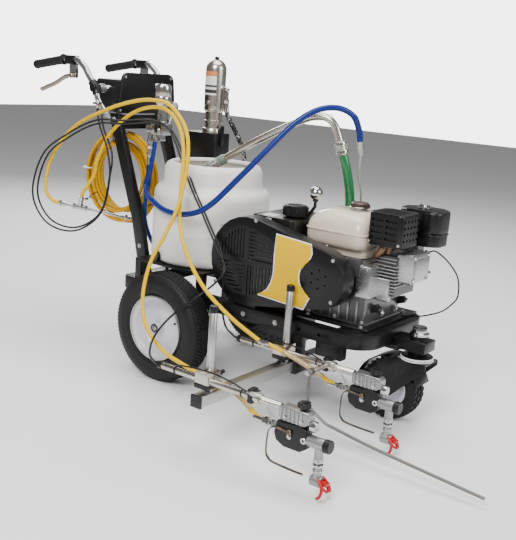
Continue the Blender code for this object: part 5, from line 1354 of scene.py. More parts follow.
@dataclass
class Engine:
    """The petrol engine: crankcase, cylinder, tank, muffler, air cleaner and controls."""

    shaft: tuple[float, float] = (0.598, 0.485)

    def build(self) -> None:
        """Make the engine's pieces."""
        self.block()
        self.tank()
        self.muffler()
        self.air_cleaner()
        self.controls()

    def block(self) -> None:
        """Make the crankcase with its ribs, the finned cylinder, the valve cover and the recoil housing."""
        case = Shape().plate([(0.512, 0.336), (0.722, 0.336), (0.7345, 0.39), (0.7345, 0.49),
            (0.705, 0.544), (0.52, 0.544), (0.5055, 0.49), (0.5055, 0.39)], "XZ", -0.1345, 0.1145, 0.008, 3)
        case.turned([(0, 0), (0.112, 0), (0.118, 0.006), (0.118, 0.052), (0.112, 0.06), (0.09, 0.07),
            (0.085, 0.082), (0.085, 0.096), (0.08, 0.1), (0, 0.1)], (self.shaft[0], 0.112, self.shaft[1]),
            (0, 1, 0), 64)
        case.block((0.5, -0.134, 0.336), (0.738, 0.114, 0.346), 0.002)
        case.place("crankcase", "root", GREY_CAST, ("engine_block",))
        barrel = Shape().block((0.722, -0.06, 0.437), (0.794, 0.08, 0.574), 0.004)
        barrel.block((0.65, -0.139, 0.5), (0.7, -0.12, 0.56), 0.005)
        barrel.place("barrel_core", "root", DARK_CAST)
        ribs = Shape()
        for k in range(12):
            z = 0.437 + 0.0115 * k
            reach = 0.0 if 2 < k < 10 else 0.006
            ribs.block((0.716, -0.0735 + reach, z), (0.7985 - reach, 0.0935 - reach, z + 0.0036), 0.0008)
        for k in range(6):
            x = 0.53 + 0.034 * k
            ribs.block((x, -0.1385, 0.345), (x + 0.006, -0.1345, 0.42), 0.0008)
        ribs.place("cylinder_fins", "root", ALUMINIUM)
        cover = Shape().block((0.79, -0.053, 0.488), (0.847, 0.073, 0.589), 0.01, 4)
        cover.block((0.842, -0.035, 0.505), (0.8515, 0.055, 0.572), 0.004, 3)
        cover.block((0.736, -0.077, 0.42), (0.782, -0.06, 0.5), 0.006, 3)
        cover.block((0.69, -0.137, 0.43), (0.74, -0.06, 0.54), 0.006, 3)
        cover.place("valve_cover", "root", BRIGHT_CAST)
        side = Shape().turned([(0, 0), (0.06, 0), (0.066, 0.004), (0.066, 0.012), (0, 0.012)],
            (self.shaft[0], -0.1345, self.shaft[1] - 0.01), (0, 1, 0), 48)
        side.place("crank_cover", "root", ALUMINIUM)
        bolts = Shape()
        for y, z in ((-0.04, 0.5), (0.06, 0.5), (-0.04, 0.577), (0.06, 0.577)):
            bolts.bolt((0.8475, y, z), (1, 0, 0), 0.0048)
        for x, z in ((0.515, 0.35), (0.515, 0.53), (0.725, 0.35), (0.725, 0.53), (0.62, 0.35)):
            bolts.bolt((x, -0.1355, z), (0, -1, 0), 0.0048)
        bolts.bolt((0.7355, -0.02, 0.365), (1, 0, 0), 0.007).bolt((0.7355, 0.075, 0.365), (1, 0, 0), 0.007)
        bolts.place("engine_bolts", "root", PLAIN_STEEL)
        self.recoil()
        plugs = Shape()
        for y in (-0.085, 0.1):
            plugs.rod((0.728, y, 0.388), (0.757, y, 0.398), 0.0135, 28).block((0.752, y - 0.011, 0.392),
                (0.764, y + 0.011, 0.401), 0.001)
        plugs.place("oil_plugs", "root", PLASTIC)

    def recoil(self) -> None:
        """Make the round starter housing with its vents and its pull grip."""
        spot = (self.shaft[0], 0.172, self.shaft[1])
        ring = Shape()
        for k in range(18):
            t = radians(20 * k)
            way = Vector((cos(t), 0, sin(t)))
            middle = Vector(spot) + way * 0.103
            side = Vector((-way.z, 0, way.x))
            ring.rings([[middle + way * a + side * b + Y * c for a,
                b in ((-0.01, -0.006), (0.01, -0.009), (0.01, 0.009), (-0.01, 0.006))]
                for c in (0.0, 0.004)])
        ring.band((spot[0], 0.2115, spot[2]), (0, 1, 0), 0.05, 0.058, 0.004, 48)
        ring.turned([(0, 0.04), (0.022, 0.04), (0.026, 0.0415), (0.022, 0.043), (0, 0.0435)], spot,
            (0, 1, 0), 40)
        ring.place("recoil_vents", "root", PLASTIC)
        grip = Shape().block((0.655, 0.176, 0.562), (0.715, 0.192, 0.577), 0.005, 4)
        grip.rod((0.685, 0.184, 0.54), (0.685, 0.184, 0.566), 0.0022, 10)
        grip.place("pull_grip", "root", PLASTIC)

    def tank(self) -> None:
        """Make the cream tank with its seam, its crown and its cap."""
        body = Shape()
        lower = ((0.572, 0.026), (0.5745, 0.014), (0.58, 0.006), (0.59, 0.002), (0.6, 0.0), (0.629, 0.0))
        upper = ((0.626, 0.0), (0.635, 0.001), (0.65, 0.004), (0.664, 0.01), (0.676, 0.019), (0.686, 0.031),
            (0.693, 0.045), (0.697, 0.058), (0.699, 0.072))
        for levels in (lower, upper):
            body.rings([[Vector((x, y, z)) for x, y in rounded_box((0.441 + inset, -0.099 + inset),
                (0.679 - inset * 0.7, 0.107 - inset), 0.034)] for z, inset in levels])
        body.plate(rounded_box((0.515, -0.065), (0.672, 0.098), 0.02), "XY", 0.5455, 0.58, 0.004, 2)
        body.place("petrol_tank", "root", CREAM, ("fuel_tank",), angle=50)
        seam = Shape().plate(rounded_box((0.4375, -0.1025), (0.6825, 0.1105), 0.036), "XY", 0.6255, 0.63,
            0.0012)
        seam.place("tank_seam", "root", CREAM)
        neck = Shape().band((0.6, 0, 0.7035), (0, 0, 1), 0.02, 0.027, 0.009, 40)
        neck.place("tank_neck", "root", PLAIN_STEEL)
        outline = [((0.0345 - 0.0018 * (k % 2)) * cos(2 * pi * k / 48),
            (0.0345 - 0.0018 * (k % 2)) * sin(2 * pi * k / 48)) for k in range(48)]
        cap = Shape().plate([(0.6 + a, b) for a, b in outline], "XY", 0.7085, 0.7215, 0.0014)
        cap.turned([(0, 0.72), (0.029, 0.7205), (0.0305, 0.7225), (0.027, 0.7265), (0, 0.7275)],
            (0.6, 0, 0), steps=40)
        cap.place("petrol_cap_ribbed", "petrol_cap", CAP_BROWN, ("fuel_cap",), angle=30)
        ring = Shape().band((0.6, 0, 0.7105), (0, 0, 1), 0.03, 0.0368, 0.0036, 48)
        ring.place("petrol_cap_ring", "petrol_cap", CHROME)

    def muffler(self) -> None:
        """Make the slotted black muffler cover, its pipe and its guard screws."""
        cover = Shape().plate(rounded_box((0.691, -0.099), (0.819, 0.029), 0.016), "XY", 0.6105, 0.7195,
            0.007, 3)
        cuts = Shape()
        for row in range(4):
            for column in range(2):
                x, z = 0.706 + 0.052 * column, 0.632 + 0.02 * row
                cuts.block((x, -0.11, z), (x + 0.042, -0.093, z + 0.009), 0.0)
        for k in range(5):
            cuts.block((0.707, -0.08 + 0.02 * k, 0.7145), (0.803, -0.071 + 0.02 * k, 0.7245), 0.0)
        for row in range(4):
            for column in range(5):
                y, z = -0.08 + 0.0225 * column, 0.634 + 0.021 * row
                cuts.rod((0.8125, y, z), (0.825, y, z), 0.0052, 14, 0.0002)
        cover.place("muffler_cover", "root", BLACK_COAT, ("muffler",), cut=cuts)
        pipe = Shape().rod((0.745, -0.035, 0.5755), (0.745, -0.035, 0.614), 0.014, 28)
        pipe.tube(smooth([(0.745, -0.062, 0.61), (0.738, -0.072, 0.592), (0.722, -0.07, 0.575),
            (0.712, -0.058, 0.568)], 0.004), 0.0125, 20)
        pipe.place("exhaust_pipe", "root", COPPER)
        screws = Shape()
        for x, y in ((0.7, -0.0995), (0.81, -0.0995)):
            screws.bolt((x, y, 0.621), (0, -1, 0), 0.0034)
        screws.place("muffler_screws", "root", PLAIN_STEEL)

    def air_cleaner(self) -> None:
        """Make the black air cleaner with its seam, chrome ring and wing nut."""
        cover = Shape().plate(rounded_box((0.701, 0.081), (0.859, 0.199), 0.034), "XY", 0.64, 0.7195, 0.012,
            4)
        cover.plate(rounded_box((0.703, 0.083), (0.857, 0.197), 0.032), "XY", 0.5975, 0.638, 0.006, 3)
        cover.plate(rounded_box((0.7, 0.08), (0.86, 0.2), 0.035), "XY", 0.635, 0.642, 0.0015)
        for k in range(5):
            cover.block((0.72 + 0.022 * k, 0.08, 0.652), (0.73 + 0.022 * k, 0.082, 0.705), 0.0006)
        cover.place("air_cover", "root", PLASTIC, ("air_cleaner",), angle=40)
        neck = Shape().block((0.742, 0.0905, 0.5005), (0.79, 0.139, 0.6), 0.004, 3)
        neck.rod((0.766, 0.139, 0.54), (0.766, 0.16, 0.54), 0.017, 28).block((0.775, 0.1, 0.47),
            (0.805, 0.135, 0.51), 0.003)
        neck.place("carburettor", "root", ALUMINIUM)
        spot = (0.775, 0.14, 0)
        ring = Shape().turned([(0, 0.719), (0.023, 0.719), (0.024, 0.7205), (0.024, 0.7225), (0.018, 0.725),
            (0, 0.725)], spot)
        ring.place("air_ring", "root", CHROME)
        nut = Shape().turned([(0, 0.7245), (0.0075, 0.7245), (0.0065, 0.73), (0.004, 0.733), (0, 0.7335)],
            spot, steps=24)
        nut.block((0.755, 0.138, 0.726), (0.795, 0.142, 0.7325), 0.0016)
        nut.place("air_wing_nut", "root", CHROME)

    def controls(self) -> None:
        """Make the throttle cable, levers, springs, ignition lead, switch and fuel tap."""
        route = [(0.8, 0.15, 0.568), (0.812, 0.15, 0.572), (0.832, 0.149, 0.576), (0.887, 0.13, 0.554),
            (0.938, 0.11, 0.511), (0.951, 0.1, 0.449), (0.93, 0.093, 0.412), (0.9, 0.088, 0.385),
            (0.85, 0.083, 0.362), (0.812, 0.08, 0.351), (0.78, 0.078, 0.345), (0.7615, 0.076, 0.343)]
        Hose("throttle_cable", route, 0.0027, PLASTIC).build()
        parts = Shape()
        parts.block((0.7, 0.02, 0.552), (0.8, 0.075, 0.555), 0.0008).rod((0.795, 0.15, 0.56),
            (0.795, 0.15, 0.575), 0.005)
        parts.tube([(0.712, 0.03, 0.556), (0.73, 0.04, 0.562), (0.78, 0.048, 0.56), (0.815, 0.06, 0.585)],
            0.0018, 10)
        parts.tube([(0.7, -0.02, 0.556), (0.74, 0.02, 0.561), (0.772, 0.085, 0.56)], 0.0016, 10)
        parts.block((0.776, 0.145, 0.555), (0.803, 0.155, 0.563), 0.0008)
        wire = [(0.722 + 0.0009 * k, 0.005 + 0.0045 * cos(k * 0.9), 0.56 + 0.0045 * sin(k * 0.9))
            for k in range(60)]
        parts.tube(wire, 0.0007, 6)
        parts.place("governor_links", "root", PLAIN_STEEL, angle=60)
        lead = Shape().tube(smooth([(0.812, 0.01, 0.566), (0.812, 0.01, 0.59), (0.79, -0.02, 0.602),
            (0.742, 0.06, 0.6), (0.69, 0.118, 0.566), (0.66, 0.135, 0.53)], 0.006), 0.0035, 12)
        lead.rod((0.812, 0.01, 0.56), (0.812, 0.01, 0.592), 0.0085)
        lead.place("ignition_lead", "root", RUBBER, angle=60)
        switch = Shape().block((0.53, -0.152, 0.535), (0.57, -0.136, 0.578), 0.003)
        switch.rod((0.735, 0.06, 0.452), (0.756, 0.06, 0.452), 0.0075).block((0.795, 0.104, 0.52),
            (0.83, 0.11, 0.528), 0.002)
        switch.place("engine_switch", "root", RED)
        levers = Shape().block((0.792, 0.108, 0.505), (0.836, 0.113, 0.513),
            0.0016).block((0.7, 0.118, 0.556), (0.76, 0.126, 0.575), 0.003)
        levers.rod((0.7, -0.115, 0.46), (0.7, -0.15, 0.46), 0.006)
        levers.place("engine_levers", "root", PLASTIC)


# ---------------------------------------------------------------- handle


@dataclass
class Handle:
    """The uprights, console, handlebar, grips and hand levers."""

    half: float = 0.2
    bar: float = 0.0125
    grip_start: float = -0.7
    height: float = 1.13

    def build(self) -> None:
        """Make the handle's pieces."""
        holes = Shape()
        for z in (0.8, 0.848):
            holes.rod((-0.53, 0.13, z), (-0.33, 0.13, z), 0.005, 20)
        clad("uprights", BLACK_COAT, 0.003, cut=holes)
        self.console()
        bars = Shape().rod((-0.514, -self.half, 1.03), (-0.514, self.half, 1.03), self.bar, 28)
        slope = Vector((-0.175, 0, -0.03)).normalized()
        for side in (-1, 1):
            y = side * self.half
            front = Vector((self.grip_start, y, self.height))
            line = [front + slope * 0.169, front, (-0.63, y, 1.131), (-0.585, y, 1.11), (-0.55, y, 1.07),
                (-0.514, y, 1.03), (-0.498, y, 0.985), (-0.482, side * 0.176, 0.94),
                (-0.478, side * 0.162, 0.915)]
            bars.tube(smooth(line, 0.008), self.bar, 24)
            bars.block((-0.675, y + 0.0045, 1.06), (-0.635, y + 0.0165, 1.131), 0.003)
            bars.rod((-0.655, y - 0.0065, 1.07), (-0.655, y + 0.006, 1.07), 0.004)
            bars.turned([(0, 0), (0.008, 0), (0.008, 0.004), (0, 0.005)], (-0.655, y - 0.0045, 1.07),
                (0, -1, 0), 6)
        bars.block((-0.502, -0.226, 0.968), (-0.474, -0.202, 0.978), 0.002)
        bars.rod((-0.478, -0.222, 0.985), (-0.478, -0.222, 0.955), 0.006)
        bars.place("handlebar_chrome", "root", CHROME, ("handlebar",), angle=50)
        joints = Shape()
        for side in (-1, 1):
            y = side * self.half
            joints.tube([(-0.534, y, 1.052), (-0.514, y, 1.03), (-0.505, y, 1.006)], 0.0175, 24)
            joints.rod((-0.514, y - 0.02, 1.03), (-0.514, y + 0.02, 1.03), 0.0155, 28)
            joints.block((-0.68, y - 0.0165, 1.112), (-0.632, y + 0.0185, 1.148), 0.005, 3)
        joints.place("bar_joints", "root", PLASTIC)
        stubs = Shape()
        for side in (-1, 1):
            for k in range(6):
                stubs.band((-0.514, side * (0.158 + 0.0052 * k), 1.03), (0, 1, 0), 0.0122, 0.0175, 0.003,
                    32)
            for k in range(7):
                spot = Vector((-0.482, side * 0.176, 0.94)).lerp(Vector((-0.478, side * 0.163, 0.918)),
                    k / 6)
                stubs.band(spot, (0.1, -side * 0.4, -0.8), 0.0122, 0.0152, 0.0024, 32)
        stubs.place("finned_stubs", "root", ALUMINIUM)
        self.grips(slope)
        knobs = Shape()
        for side in (-1, 1):
            spot = (-0.478, side * 0.15, 0.965)
            knobs.turned([(0, 0), (0.006, 0), (0.006, 0.01), (0.013, 0.014), (0.015, 0.02), (0.013, 0.026),
                (0, 0.028)], spot, (1, 0, 0), 24)
        knobs.place("handle_knobs", "root", PLASTIC)
        bolts = Shape()
        for y in (-0.1432, 0.1432):
            for x, z in ((-0.277, 0.345), (-0.3, 0.43), (-0.458, 0.88), (-0.466, 0.915)):
                bolts.bolt((x, y, z), (0, 1 if y > 0 else -1, 0), 0.006)
        bolts.place("upright_bolts", "root", PLAIN_STEEL)

    def grips(self, slope: Vector) -> None:
        """Make the ribbed grips and the levers.

        Args:
            slope: The grips' direction, towards the operator.
        """
        profile = [(0.0127, 0.0), (0.0215, 0.0), (0.022, 0.002), (0.022, 0.005), (0.0185, 0.009)]
        for k in range(20):
            start = 0.014 + 0.0072 * k
            profile += [(0.0165, start), (0.0174, start + 0.0016), (0.0174, start + 0.0046),
                (0.0165, start + 0.0062)]
        profile += [(0.0178, 0.163), (0.0185, 0.168), (0.0165, 0.1745), (0, 0.175), (0, 0.1705),
            (0.0127, 0.1705)]
        for name, side in (("right", -1), ("left", 1)):
            front = Vector((self.grip_start, side * self.half, self.height))
            Shape().turned(profile[:-2], front, slope, 40).place(f"grip_ribbed_{name}", "root", RUBBER,
                (f"grip_{name}",), angle=28)
            y = side * self.half
            tilt = Vector((-cos(radians(20)), 0, -sin(radians(20))))
            eye = Vector((-0.655, y, 1.07))
            bend = [eye, Vector((-0.68, y, 1.067)), Vector((-0.7, y, 1.0605)), eye + tilt * 0.1,
                eye + tilt * 0.15, eye + tilt * 0.19]
            lever = Shape().tube(smooth(bend, 0.006), 0.0072, 18).rod(eye - Y * 0.0045, eye + Y * 0.004,
                0.011, 28)
            lever.tube(smooth([p - Z * 0.005 for p in bend[1:]], 0.006), 0.0058, 16)
            lever.rod(eye + tilt * 0.183, eye + tilt * 0.197, 0.008, 20, 0.003)
            lever.place(f"lever_{name}_blade", f"lever_{name}", CHAMPAGNE, (f"hand_lever_{name}",),
                angle=60)

    def console(self) -> None:
        """Make the control box with its front plate, its meter, its switch and its pressure knob."""
        front = [(-0.1489, 0.938), (0.1841, 0.938), *arc((0.138, 1.066), 0.031, 0, 90, 8),
            *arc((-0.098, 1.066), 0.031, 90, 180, 8)]
        plate = Shape().plate(front, "YZ", -0.452, -0.4402, 0.003, 3)
        plate.block((-0.5895, -0.1245, 0.938), (-0.45, 0.1245, 1.067), 0.008, 3)
        plate.place("console_box", "root", PLASTIC, ("console",), angle=40,
            cut=Shape().rod((-0.514, -0.3, 1.03), (-0.514, 0.3, 1.03), 0.0128, 28))
        trim = Shape()
        for y, z in ((-0.135, 0.95), (0.17, 0.95), (-0.112, 1.08), (0.148, 1.08)):
            trim.bolt((-0.4402, y, z), (1, 0, 0), 0.004)
        trim.band((-0.59, -0.06, 1.005), (1, 0, 0), 0.02, 0.025, 0.004, 40)
        trim.band((-0.59, 0.06, 1.005), (1, 0, 0), 0.009, 0.012, 0.006, 32)
        trim.place("console_trim", "root", PLAIN_STEEL)
        meter = Shape().turned([(0, 0), (0.0205, 0), (0.0205, 0.0015), (0, 0.0015)],
            (-0.5893, -0.06, 1.005), (-1, 0, 0), 40)
        meter.place("console_meter", "root", WHITE)
        knob = Shape().turned([(0, 0), (0.01, 0), (0.016, 0.004), (0.0175, 0.012), (0.016, 0.022),
            (0, 0.024)], (-0.5893, 0.005, 0.985), (-1, 0, 0), 12)
        knob.turned([(0, 0), (0.008, 0), (0.008, 0.01), (0.0095, 0.013), (0, 0.015)],
            (-0.5893, 0.06, 1.005), (-1, 0, 0), 24)
        knob.block((-0.597, -0.105, 0.96), (-0.588, -0.085, 0.98), 0.002)
        knob.place("console_knob", "root", RED)


# ---------------------------------------------------------------- guns


@dataclass
class Carrier:
    """The bracket under the right rail and the sliding bar with its two posts."""

    x: float = 0.515
    bar: float = 0.038
    height: float = 0.169
    posts: tuple[float, float] = (-0.26, -0.66)

    def build(self) -> None:
        """Make the bracket, the bar, the posts and their caps."""
        half = self.bar / 2
        clad("carrier_bracket", BLACK_COAT, 0.0015)
        bar = Shape().block((self.x - half, -0.716, self.height - half),
            (self.x + half, -0.02, self.height + half), 0.003, 3)
        for y in self.posts:
            bar.rod((self.x, y, self.height), (self.x, y, 0.45), 0.0125, 32)
        bar.place("gun_bar", "carrier", SATIN, ("carrier_bar",), angle=45)
        black = Shape().block((self.x - half - 0.001, -0.722, self.height - half - 0.001),
            (self.x + half + 0.001, -0.7155, self.height + half + 0.001), 0.002, 3)
        for y in self.posts:
            black.turned([(0.0126, 0.436), (0.0136, 0.436), (0.0138, 0.438), (0.0138, 0.452),
                (0.012, 0.456), (0, 0.457)], (self.x, y, 0), steps=32)
        black.place("bar_caps", "carrier", PLASTIC)
        screw = Shape().rod((self.x - 0.028, -0.2, self.height), (self.x - 0.05, -0.2, self.height), 0.005)
        screw.rod((self.x - 0.07, -0.2, self.height - 0.024), (self.x - 0.048, -0.2, self.height + 0.02),
            0.0065, 16, 0.003)
        for x in (-0.018, 0.018):
            screw.bolt((self.x + x, -0.2352, 0.205), (0, -1, 0), 0.0045)
        screw.place("bar_clamp", "root", PLASTIC)


@dataclass
class Gun:
    """One spray gun on its arm, with its knob, its body, its cable end and its red guard."""

    name: str
    post_y: float
    arm_z: float = 0.23
    tip_x: float = 0.935
    tip_z: float = 0.05

    def build(self) -> None:
        """Make the arm and everything on it."""
        name, z = self.name, self.arm_z
        y = self.y = self.post_y - 0.025
        body = self.body = f"arm_{name}"
        clad(f"gun_arm_{name}", STAINLESS, 0.0012, 44)
        x, tz = self.tip_x, self.tip_z
        head = Shape().plate([(0.801, 0.204), (0.801, 0.234), (0.812, 0.2415), (0.896, 0.2415),
            (0.9045, 0.233), (0.9045, 0.209), (0.89, 0.199), (0.815, 0.198)], "XZ", y - 0.017, y + 0.017,
            0.003, 3)
        head.rod((0.895, y, 0.16), (0.956, y, 0.16), 0.0172, 40, 0.002).rod((0.76, y, 0.17), (0.8, y, 0.17),
            0.0088, 24)
        head.turned([(0, 0), (0.013, 0), (0.013, 0.05), (0.0105, 0.054), (0.0105, 0.072), (0.0125, 0.074),
            (0.0125, 0.104), (0, 0.104)], (x, y, 0.16), (0, 0, -1), 32)
        head.band((x, y, tz), (1, 0, 0), 0.009, 0.0165, 0.034, 36)
        head.place(f"gun_head_{name}", body, ALUMINIUM, (f"gun_{name}",))
        strap = [(0.845, 0.171), (0.798, 0.174), (0.78, 0.164), (0.7745, 0.142), (0.7735, 0.094),
            (0.782, 0.076), (0.8, 0.067), (0.86, 0.064), (0.901, 0.064)]
        path = smooth([(px, y - 0.0205, pz) for px, pz in strap], 0.004)
        pull = Shape()
        pull.rings([[p + Y * across_y + Z * lift for across_y, lift in ((-0.0075, 0), (0.0, 0.0034),
            (0.002, 0), (0.0, -0.0034))] for p in path])
        pull.rod((0.845, y - 0.0235, 0.171), (0.845, y - 0.018, 0.171), 0.0085, 28)
        pull.place(f"trigger_strap_{name}", f"trigger_{name}_body", STRAP, (f"trigger_{name}",), angle=40)
        black = Shape().block((0.489, y - 0.018, z - 0.0265), (0.541, self.post_y + 0.022, z - 0.01), 0.003)
        black.rod((0.515, self.post_y + 0.018, z), (0.515, self.post_y + 0.04, z), 0.005)
        black.rod((0.497, self.post_y + 0.044, z - 0.018), (0.533, self.post_y + 0.044, z + 0.018), 0.0068,
            18, 0.003)
        black.turned([(0.0112, 0), (0.0125, 0), (0.0125, 0.012), (0.0112, 0.012)], (0.33, y, z), (1, 0, 0),
            24, loop=True)
        black.plate([(0.79, 0.156), (0.798, 0.193), (0.87, 0.1985), (0.9, 0.19), (0.9, 0.135),
            (0.88, 0.121), (0.825, 0.121), (0.798, 0.134)], "XZ", y - 0.0172, y + 0.0172, 0.004, 3)
        black.rod((0.952, y, 0.16), (0.972, y, 0.16), 0.0195, 32, 0.002)
        black.block((0.69, y - 0.017, z - 0.018), (0.708, y + 0.012, z + 0.027), 0.003, 3)
        black.block((0.698, y - 0.02, z + 0.015), (0.722, y + 0.006, z + 0.024), 0.002)
        black.place(f"gun_black_{name}", body, PLASTIC)
        self.knob()
        self.boss()
        self.links()
        self.guard()

    def knob(self) -> None:
        """Make the star knob over the gun's clamp."""
        y = self.y
        outline = [(0.876 + (0.0175 + 0.0035 * cos(5 * t)) * cos(t),
            y + (0.0175 + 0.0035 * cos(5 * t)) * sin(t)) for t in (2 * pi * k / 60 for k in range(60))]
        knob = Shape().plate(outline, "XY", 0.249, 0.264, 0.003, 3).rod((0.876, y, 0.242), (0.876, y, 0.25),
            0.009)
        knob.turned([(0, 0), (0.009, 0), (0.009, 0.003), (0, 0.004)], (0.876, y, 0.2635), (0, 0, 1), 6)
        knob.place(f"gun_knob_{self.name}", self.body, PLASTIC)

    def boss(self) -> None:
        """Make the bright boss, nuts, screws and grey block of the gun's head."""
        y, x, body = self.y, self.tip_x, self.body
        bright = Shape().turned([(0, 0), (0.015, 0), (0.0165, 0.002), (0.0165, 0.014), (0.013, 0.018),
            (0, 0.019)], (0.9045, y, 0.203), (1, 0, 0), 32)
        bright.turned([(0, 0), (0.0135, 0), (0.0145, 0.0015), (0.0145, 0.013), (0.0135, 0.0145),
            (0, 0.0145)], (x, y, 0.12), (0, 0, -1), 6)
        bright.band((x, y, 0.096), (0, 0, 1), 0.012, 0.015, 0.008, 32).band((x, y, 0.08), (0, 0, 1), 0.012,
            0.0142, 0.004, 32)
        bright.turned([(0, 0), (0.011, 0), (0.012, 0.0015), (0.012, 0.012), (0, 0.012)], (0.768, y, 0.17),
            (1, 0, 0), 6)
        for side in (-1, 1):
            bright.bolt((0.825, y + side * 0.018, 0.212), (0, side, 0),
                0.0045).bolt((0.88, y + side * 0.018, 0.212), (0, side, 0), 0.0045)
            bright.bolt((0.845, y + side * 0.0192, 0.158), (0, side, 0), 0.005)
            bright.band((0.892, y + side * 0.0185, 0.16), (0, 1, 0), 0.004, 0.0095, 0.004, 24)
        bright.place(f"gun_bright_{self.name}", body, CHROME)
        ribs = Shape()
        for k in range(6):
            ribs.block((0.808 + 0.014 * k, y - 0.019, 0.2), (0.813 + 0.014 * k, y + 0.019, 0.238), 0.001)
        ribs.place(f"gun_ribs_{self.name}", body, ALUMINIUM)

    def links(self) -> None:
        """Make the cable anchor, its inner cable, its return spring and the loops behind."""
        y, z, body = self.y, self.arm_z, self.body
        parts = Shape().block((0.705, y - 0.024, z + 0.01), (0.723, y + 0.004, z + 0.023), 0.002)
        parts.rod((0.69, y - 0.02, z + 0.016), (0.735, y - 0.02, z + 0.016), 0.0036, 14)
        parts.tube(smooth([(0.735, y - 0.02, z + 0.016), (0.765, y - 0.021, z - 0.005),
            (0.785, y - 0.0215, z - 0.045), (0.79, y - 0.021, z - 0.065)], 0.004), 0.0012, 8)
        wire = [(0.742 + 0.0008 * k, y + 0.01 + 0.0045 * cos(k * 0.85),
            z - 0.02 + 0.0045 * sin(k * 0.85) - 0.0006 * k) for k in range(60)]
        parts.tube(wire, 0.0008, 6)
        parts.place(f"gun_links_{self.name}", body, PLAIN_STEEL, angle=60)
        loop = [(0.69, y - 0.02, z + 0.016), (0.64, y - 0.022, z + 0.03), (0.56, y - 0.025, z + 0.04),
            (0.47, y - 0.024, z + 0.034), (0.395, y - 0.018, z + 0.022), (0.345, y - 0.006, z + 0.016)]
        Shape().tube(smooth(loop, 0.008), 0.0026, 10).place(f"gun_inner_cable_{self.name}", body, PLASTIC,
            angle=70)
        ties = Shape()
        for x in (0.4, 0.66):
            ties.band((x, y, z), (1, 0, 0), 0.0108, 0.0125, 0.004, 24)
        ties.place(f"gun_ties_{self.name}", body, PLASTIC)

    def guard(self) -> None:
        """Make the red tip with its wings and the loop guard."""
        y, x, z, name = self.y, self.tip_x, self.tip_z, self.name
        tip = Shape().rod((x - 0.02, y, z), (x + 0.03, y, z), 0.0074, 24)
        tip.block((x + 0.026, y - 0.011, z - 0.0048), (x + 0.038, y + 0.011, z + 0.0048), 0.002, 3)
        tip.block((x + 0.015, y - 0.003, z + 0.004), (x + 0.034, y + 0.003, z + 0.007), 0.001)
        tip.place(f"tip_red_{name}", f"tip_{name}_body", RED, (f"tip_{name}",))
        arms = Shape()
        for side in (-1, 1):
            line = [(x + 0.01, y + side * 0.012, z + 0.012), (x + 0.022, y + side * 0.015, z + 0.002),
                (x + 0.03, y + side * 0.019, z - 0.012), (x + 0.03, y + side * 0.027, z - 0.028),
                (x + 0.022, y + side * 0.031, z - 0.0355)]
            arms.tube(smooth(line, 0.003), 0.0046, 14)
        arms.tube(smooth([(x + 0.02, y - 0.015, z), (x + 0.036, y - 0.006, z - 0.018),
            (x + 0.036, y + 0.006, z - 0.018), (x + 0.02, y + 0.015, z)], 0.003), 0.0036, 12)
        arms.place(f"tip_guard_{name}", self.body, RED)


@dataclass
class Pointer:
    """The long folding pointer and its joint."""

    x: float = 0.705
    y: float = -0.4

    def build(self) -> None:
        """Make the rod and its eye."""
        x, y = self.x, self.y
        line = [(x, y, 0.235), (x, y, 0.15), (x + 0.004, y, 0.128), (x + 0.024, y, 0.112),
            (x + 0.075, y, 0.085), (x + 0.1, y, 0.081), (0.95, y, 0.0608), (1.2, y, 0.0371),
            (1.3125, y, 0.0272)]
        rod = Shape().tube(smooth(line, 0.01), 0.005, 16).rod((x, y - 0.0135, 0.235),
            (x, y + 0.0135, 0.235), 0.012, 32)
        rod.place("pointer_line", "pointer", GREY_ROD, ("pointer_rod",), angle=50)
        nut = Shape().bolt((x, y - 0.0138, 0.235), (0, -1, 0), 0.0062)
        nut.place("pointer_nut", "arm_inner", PLAIN_STEEL)


# ---------------------------------------------------------------- studio


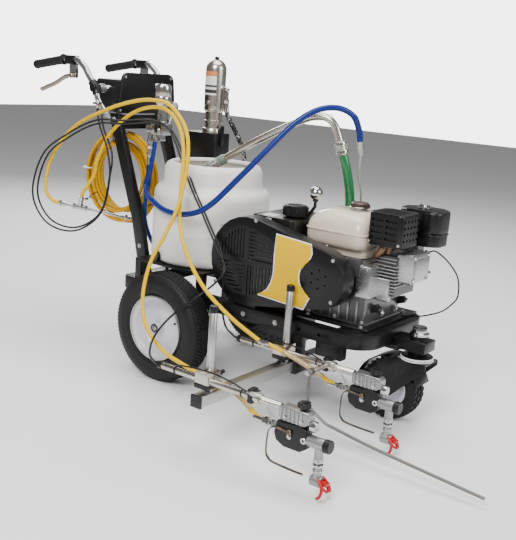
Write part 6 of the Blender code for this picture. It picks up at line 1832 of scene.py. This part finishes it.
@dataclass
class Studio:
    """The camera, the soft lights and the pale floor."""

    spot: Point = (2.074, -2.599, 1.152)
    lens: float = 60.63
    axes: tuple[Point, Point, Point] = ((0.79744, 0.59935, 0.06976), (-0.19068, 0.14063, 0.97153),
        (0.57248, -0.78804, 0.22642))
    aim: Point = (0.25, 0, 0.5)
    lights: tuple = (("key", (1.2, -3.6, 3.4), 2.0, 215), ("side", (4.0, 0.5, 2.4), 2.0, 95),
        ("back", (-3.0, 2.4, 2.8), 2.0, 110), ("top", (0.2, 0.2, 4.2), 3.0, 150))
    sky: float = 0.26
    seen_sky: float = 5.0
    reach: float = 14.0
    floor_drop: float = 0.0005

    def camera(self) -> None:
        """Set the camera at the machine's front right."""
        data = bpy.data.cameras.new("view")
        data.lens, data.sensor_width, data.sensor_fit = self.lens, 36.0, "HORIZONTAL"
        data.clip_end = 60.0
        eye = bpy.data.objects.new("view", data)
        turn = Matrix(self.axes).transposed().to_4x4()
        eye.matrix_world = Matrix.Translation(ORIGIN + Vector(self.spot)) @ turn
        bpy.context.scene.collection.objects.link(eye)
        bpy.context.scene.camera = eye

    def light(self, name: str, spot: Point, size: float, power: float) -> None:
        """Add a soft square light that faces the machine's middle.

        Args:
            name: Its name.
            spot: Where it stands.
            size: Its width.
            power: Its power in watts.
        """
        data = bpy.data.lights.new(name, "AREA")
        data.shape, data.size, data.energy = "SQUARE", size, power
        lamp = bpy.data.objects.new(name, data)
        lamp.location = ORIGIN + Vector(spot)
        aim = ORIGIN + Vector(self.aim) - lamp.location
        lamp.rotation_euler = aim.to_track_quat("-Z", "Y").to_euler()
        bpy.context.scene.collection.objects.link(lamp)

    def build(self) -> None:
        """Light the machine and lay the floor."""
        for light in self.lights:
            self.light(*light)
        world = bpy.data.worlds.new("studio")
        world.use_nodes = True
        nodes = Nodes(world.node_tree)
        seen = nodes.add("LightPath").outputs["Is Camera Ray"]
        levels = {"Value": seen, "To Min": self.sky, "To Max": self.seen_sky}
        strength = nodes.add("MapRange", levels).outputs[0]
        nodes.tree.links.new(strength, nodes.tree.nodes["Background"].inputs["Strength"])
        nodes.tree.nodes["Background"].inputs["Color"].default_value = (0.98, 0.98, 1.0, 1.0)
        bpy.context.scene.world = world
        mesh = bpy.data.meshes.new("floor")
        reach = self.reach
        mesh.from_pydata([(-reach, -reach, 0), (reach, -reach, 0), (reach, reach, 0), (-reach, reach, 0)],
            [], [(0, 1, 2, 3)])
        floor = bpy.data.objects.new("floor", mesh)
        floor.location.z = -self.floor_drop
        bpy.context.scene.collection.objects.link(floor)
        pale = Finish("Pale floor", "", (0.92, 0.92, 0.92), 0.75, grain=0.0, mottle=0.01, wear=0.0,
            dust=0.0)
        mesh.materials.append(pale.material())


def main() -> None:
    """Build the whole machine, piece by piece."""
    logging.basicConfig(level=logging.INFO, format="%(message)s")
    GROUPS["Weathered"] = weathered_group()
    GROUPS["Flecks"] = fleck_group()
    Studio().camera()
    Hoses().build()
    for side in (-1, 1):
        RearWheel(side).build()
    for assembly in (Caster(), Chassis(), Hopper(), PaintPump(), Manifold(), Suction(), Drive(), Engine(),
            Handle(), Carrier(), Gun("outer", -0.66), Gun("inner", -0.26), Pointer()):
        log.info("building %s", type(assembly).__name__)
        assembly.build()
    Studio().build()


if __name__ == "__main__":
    main()
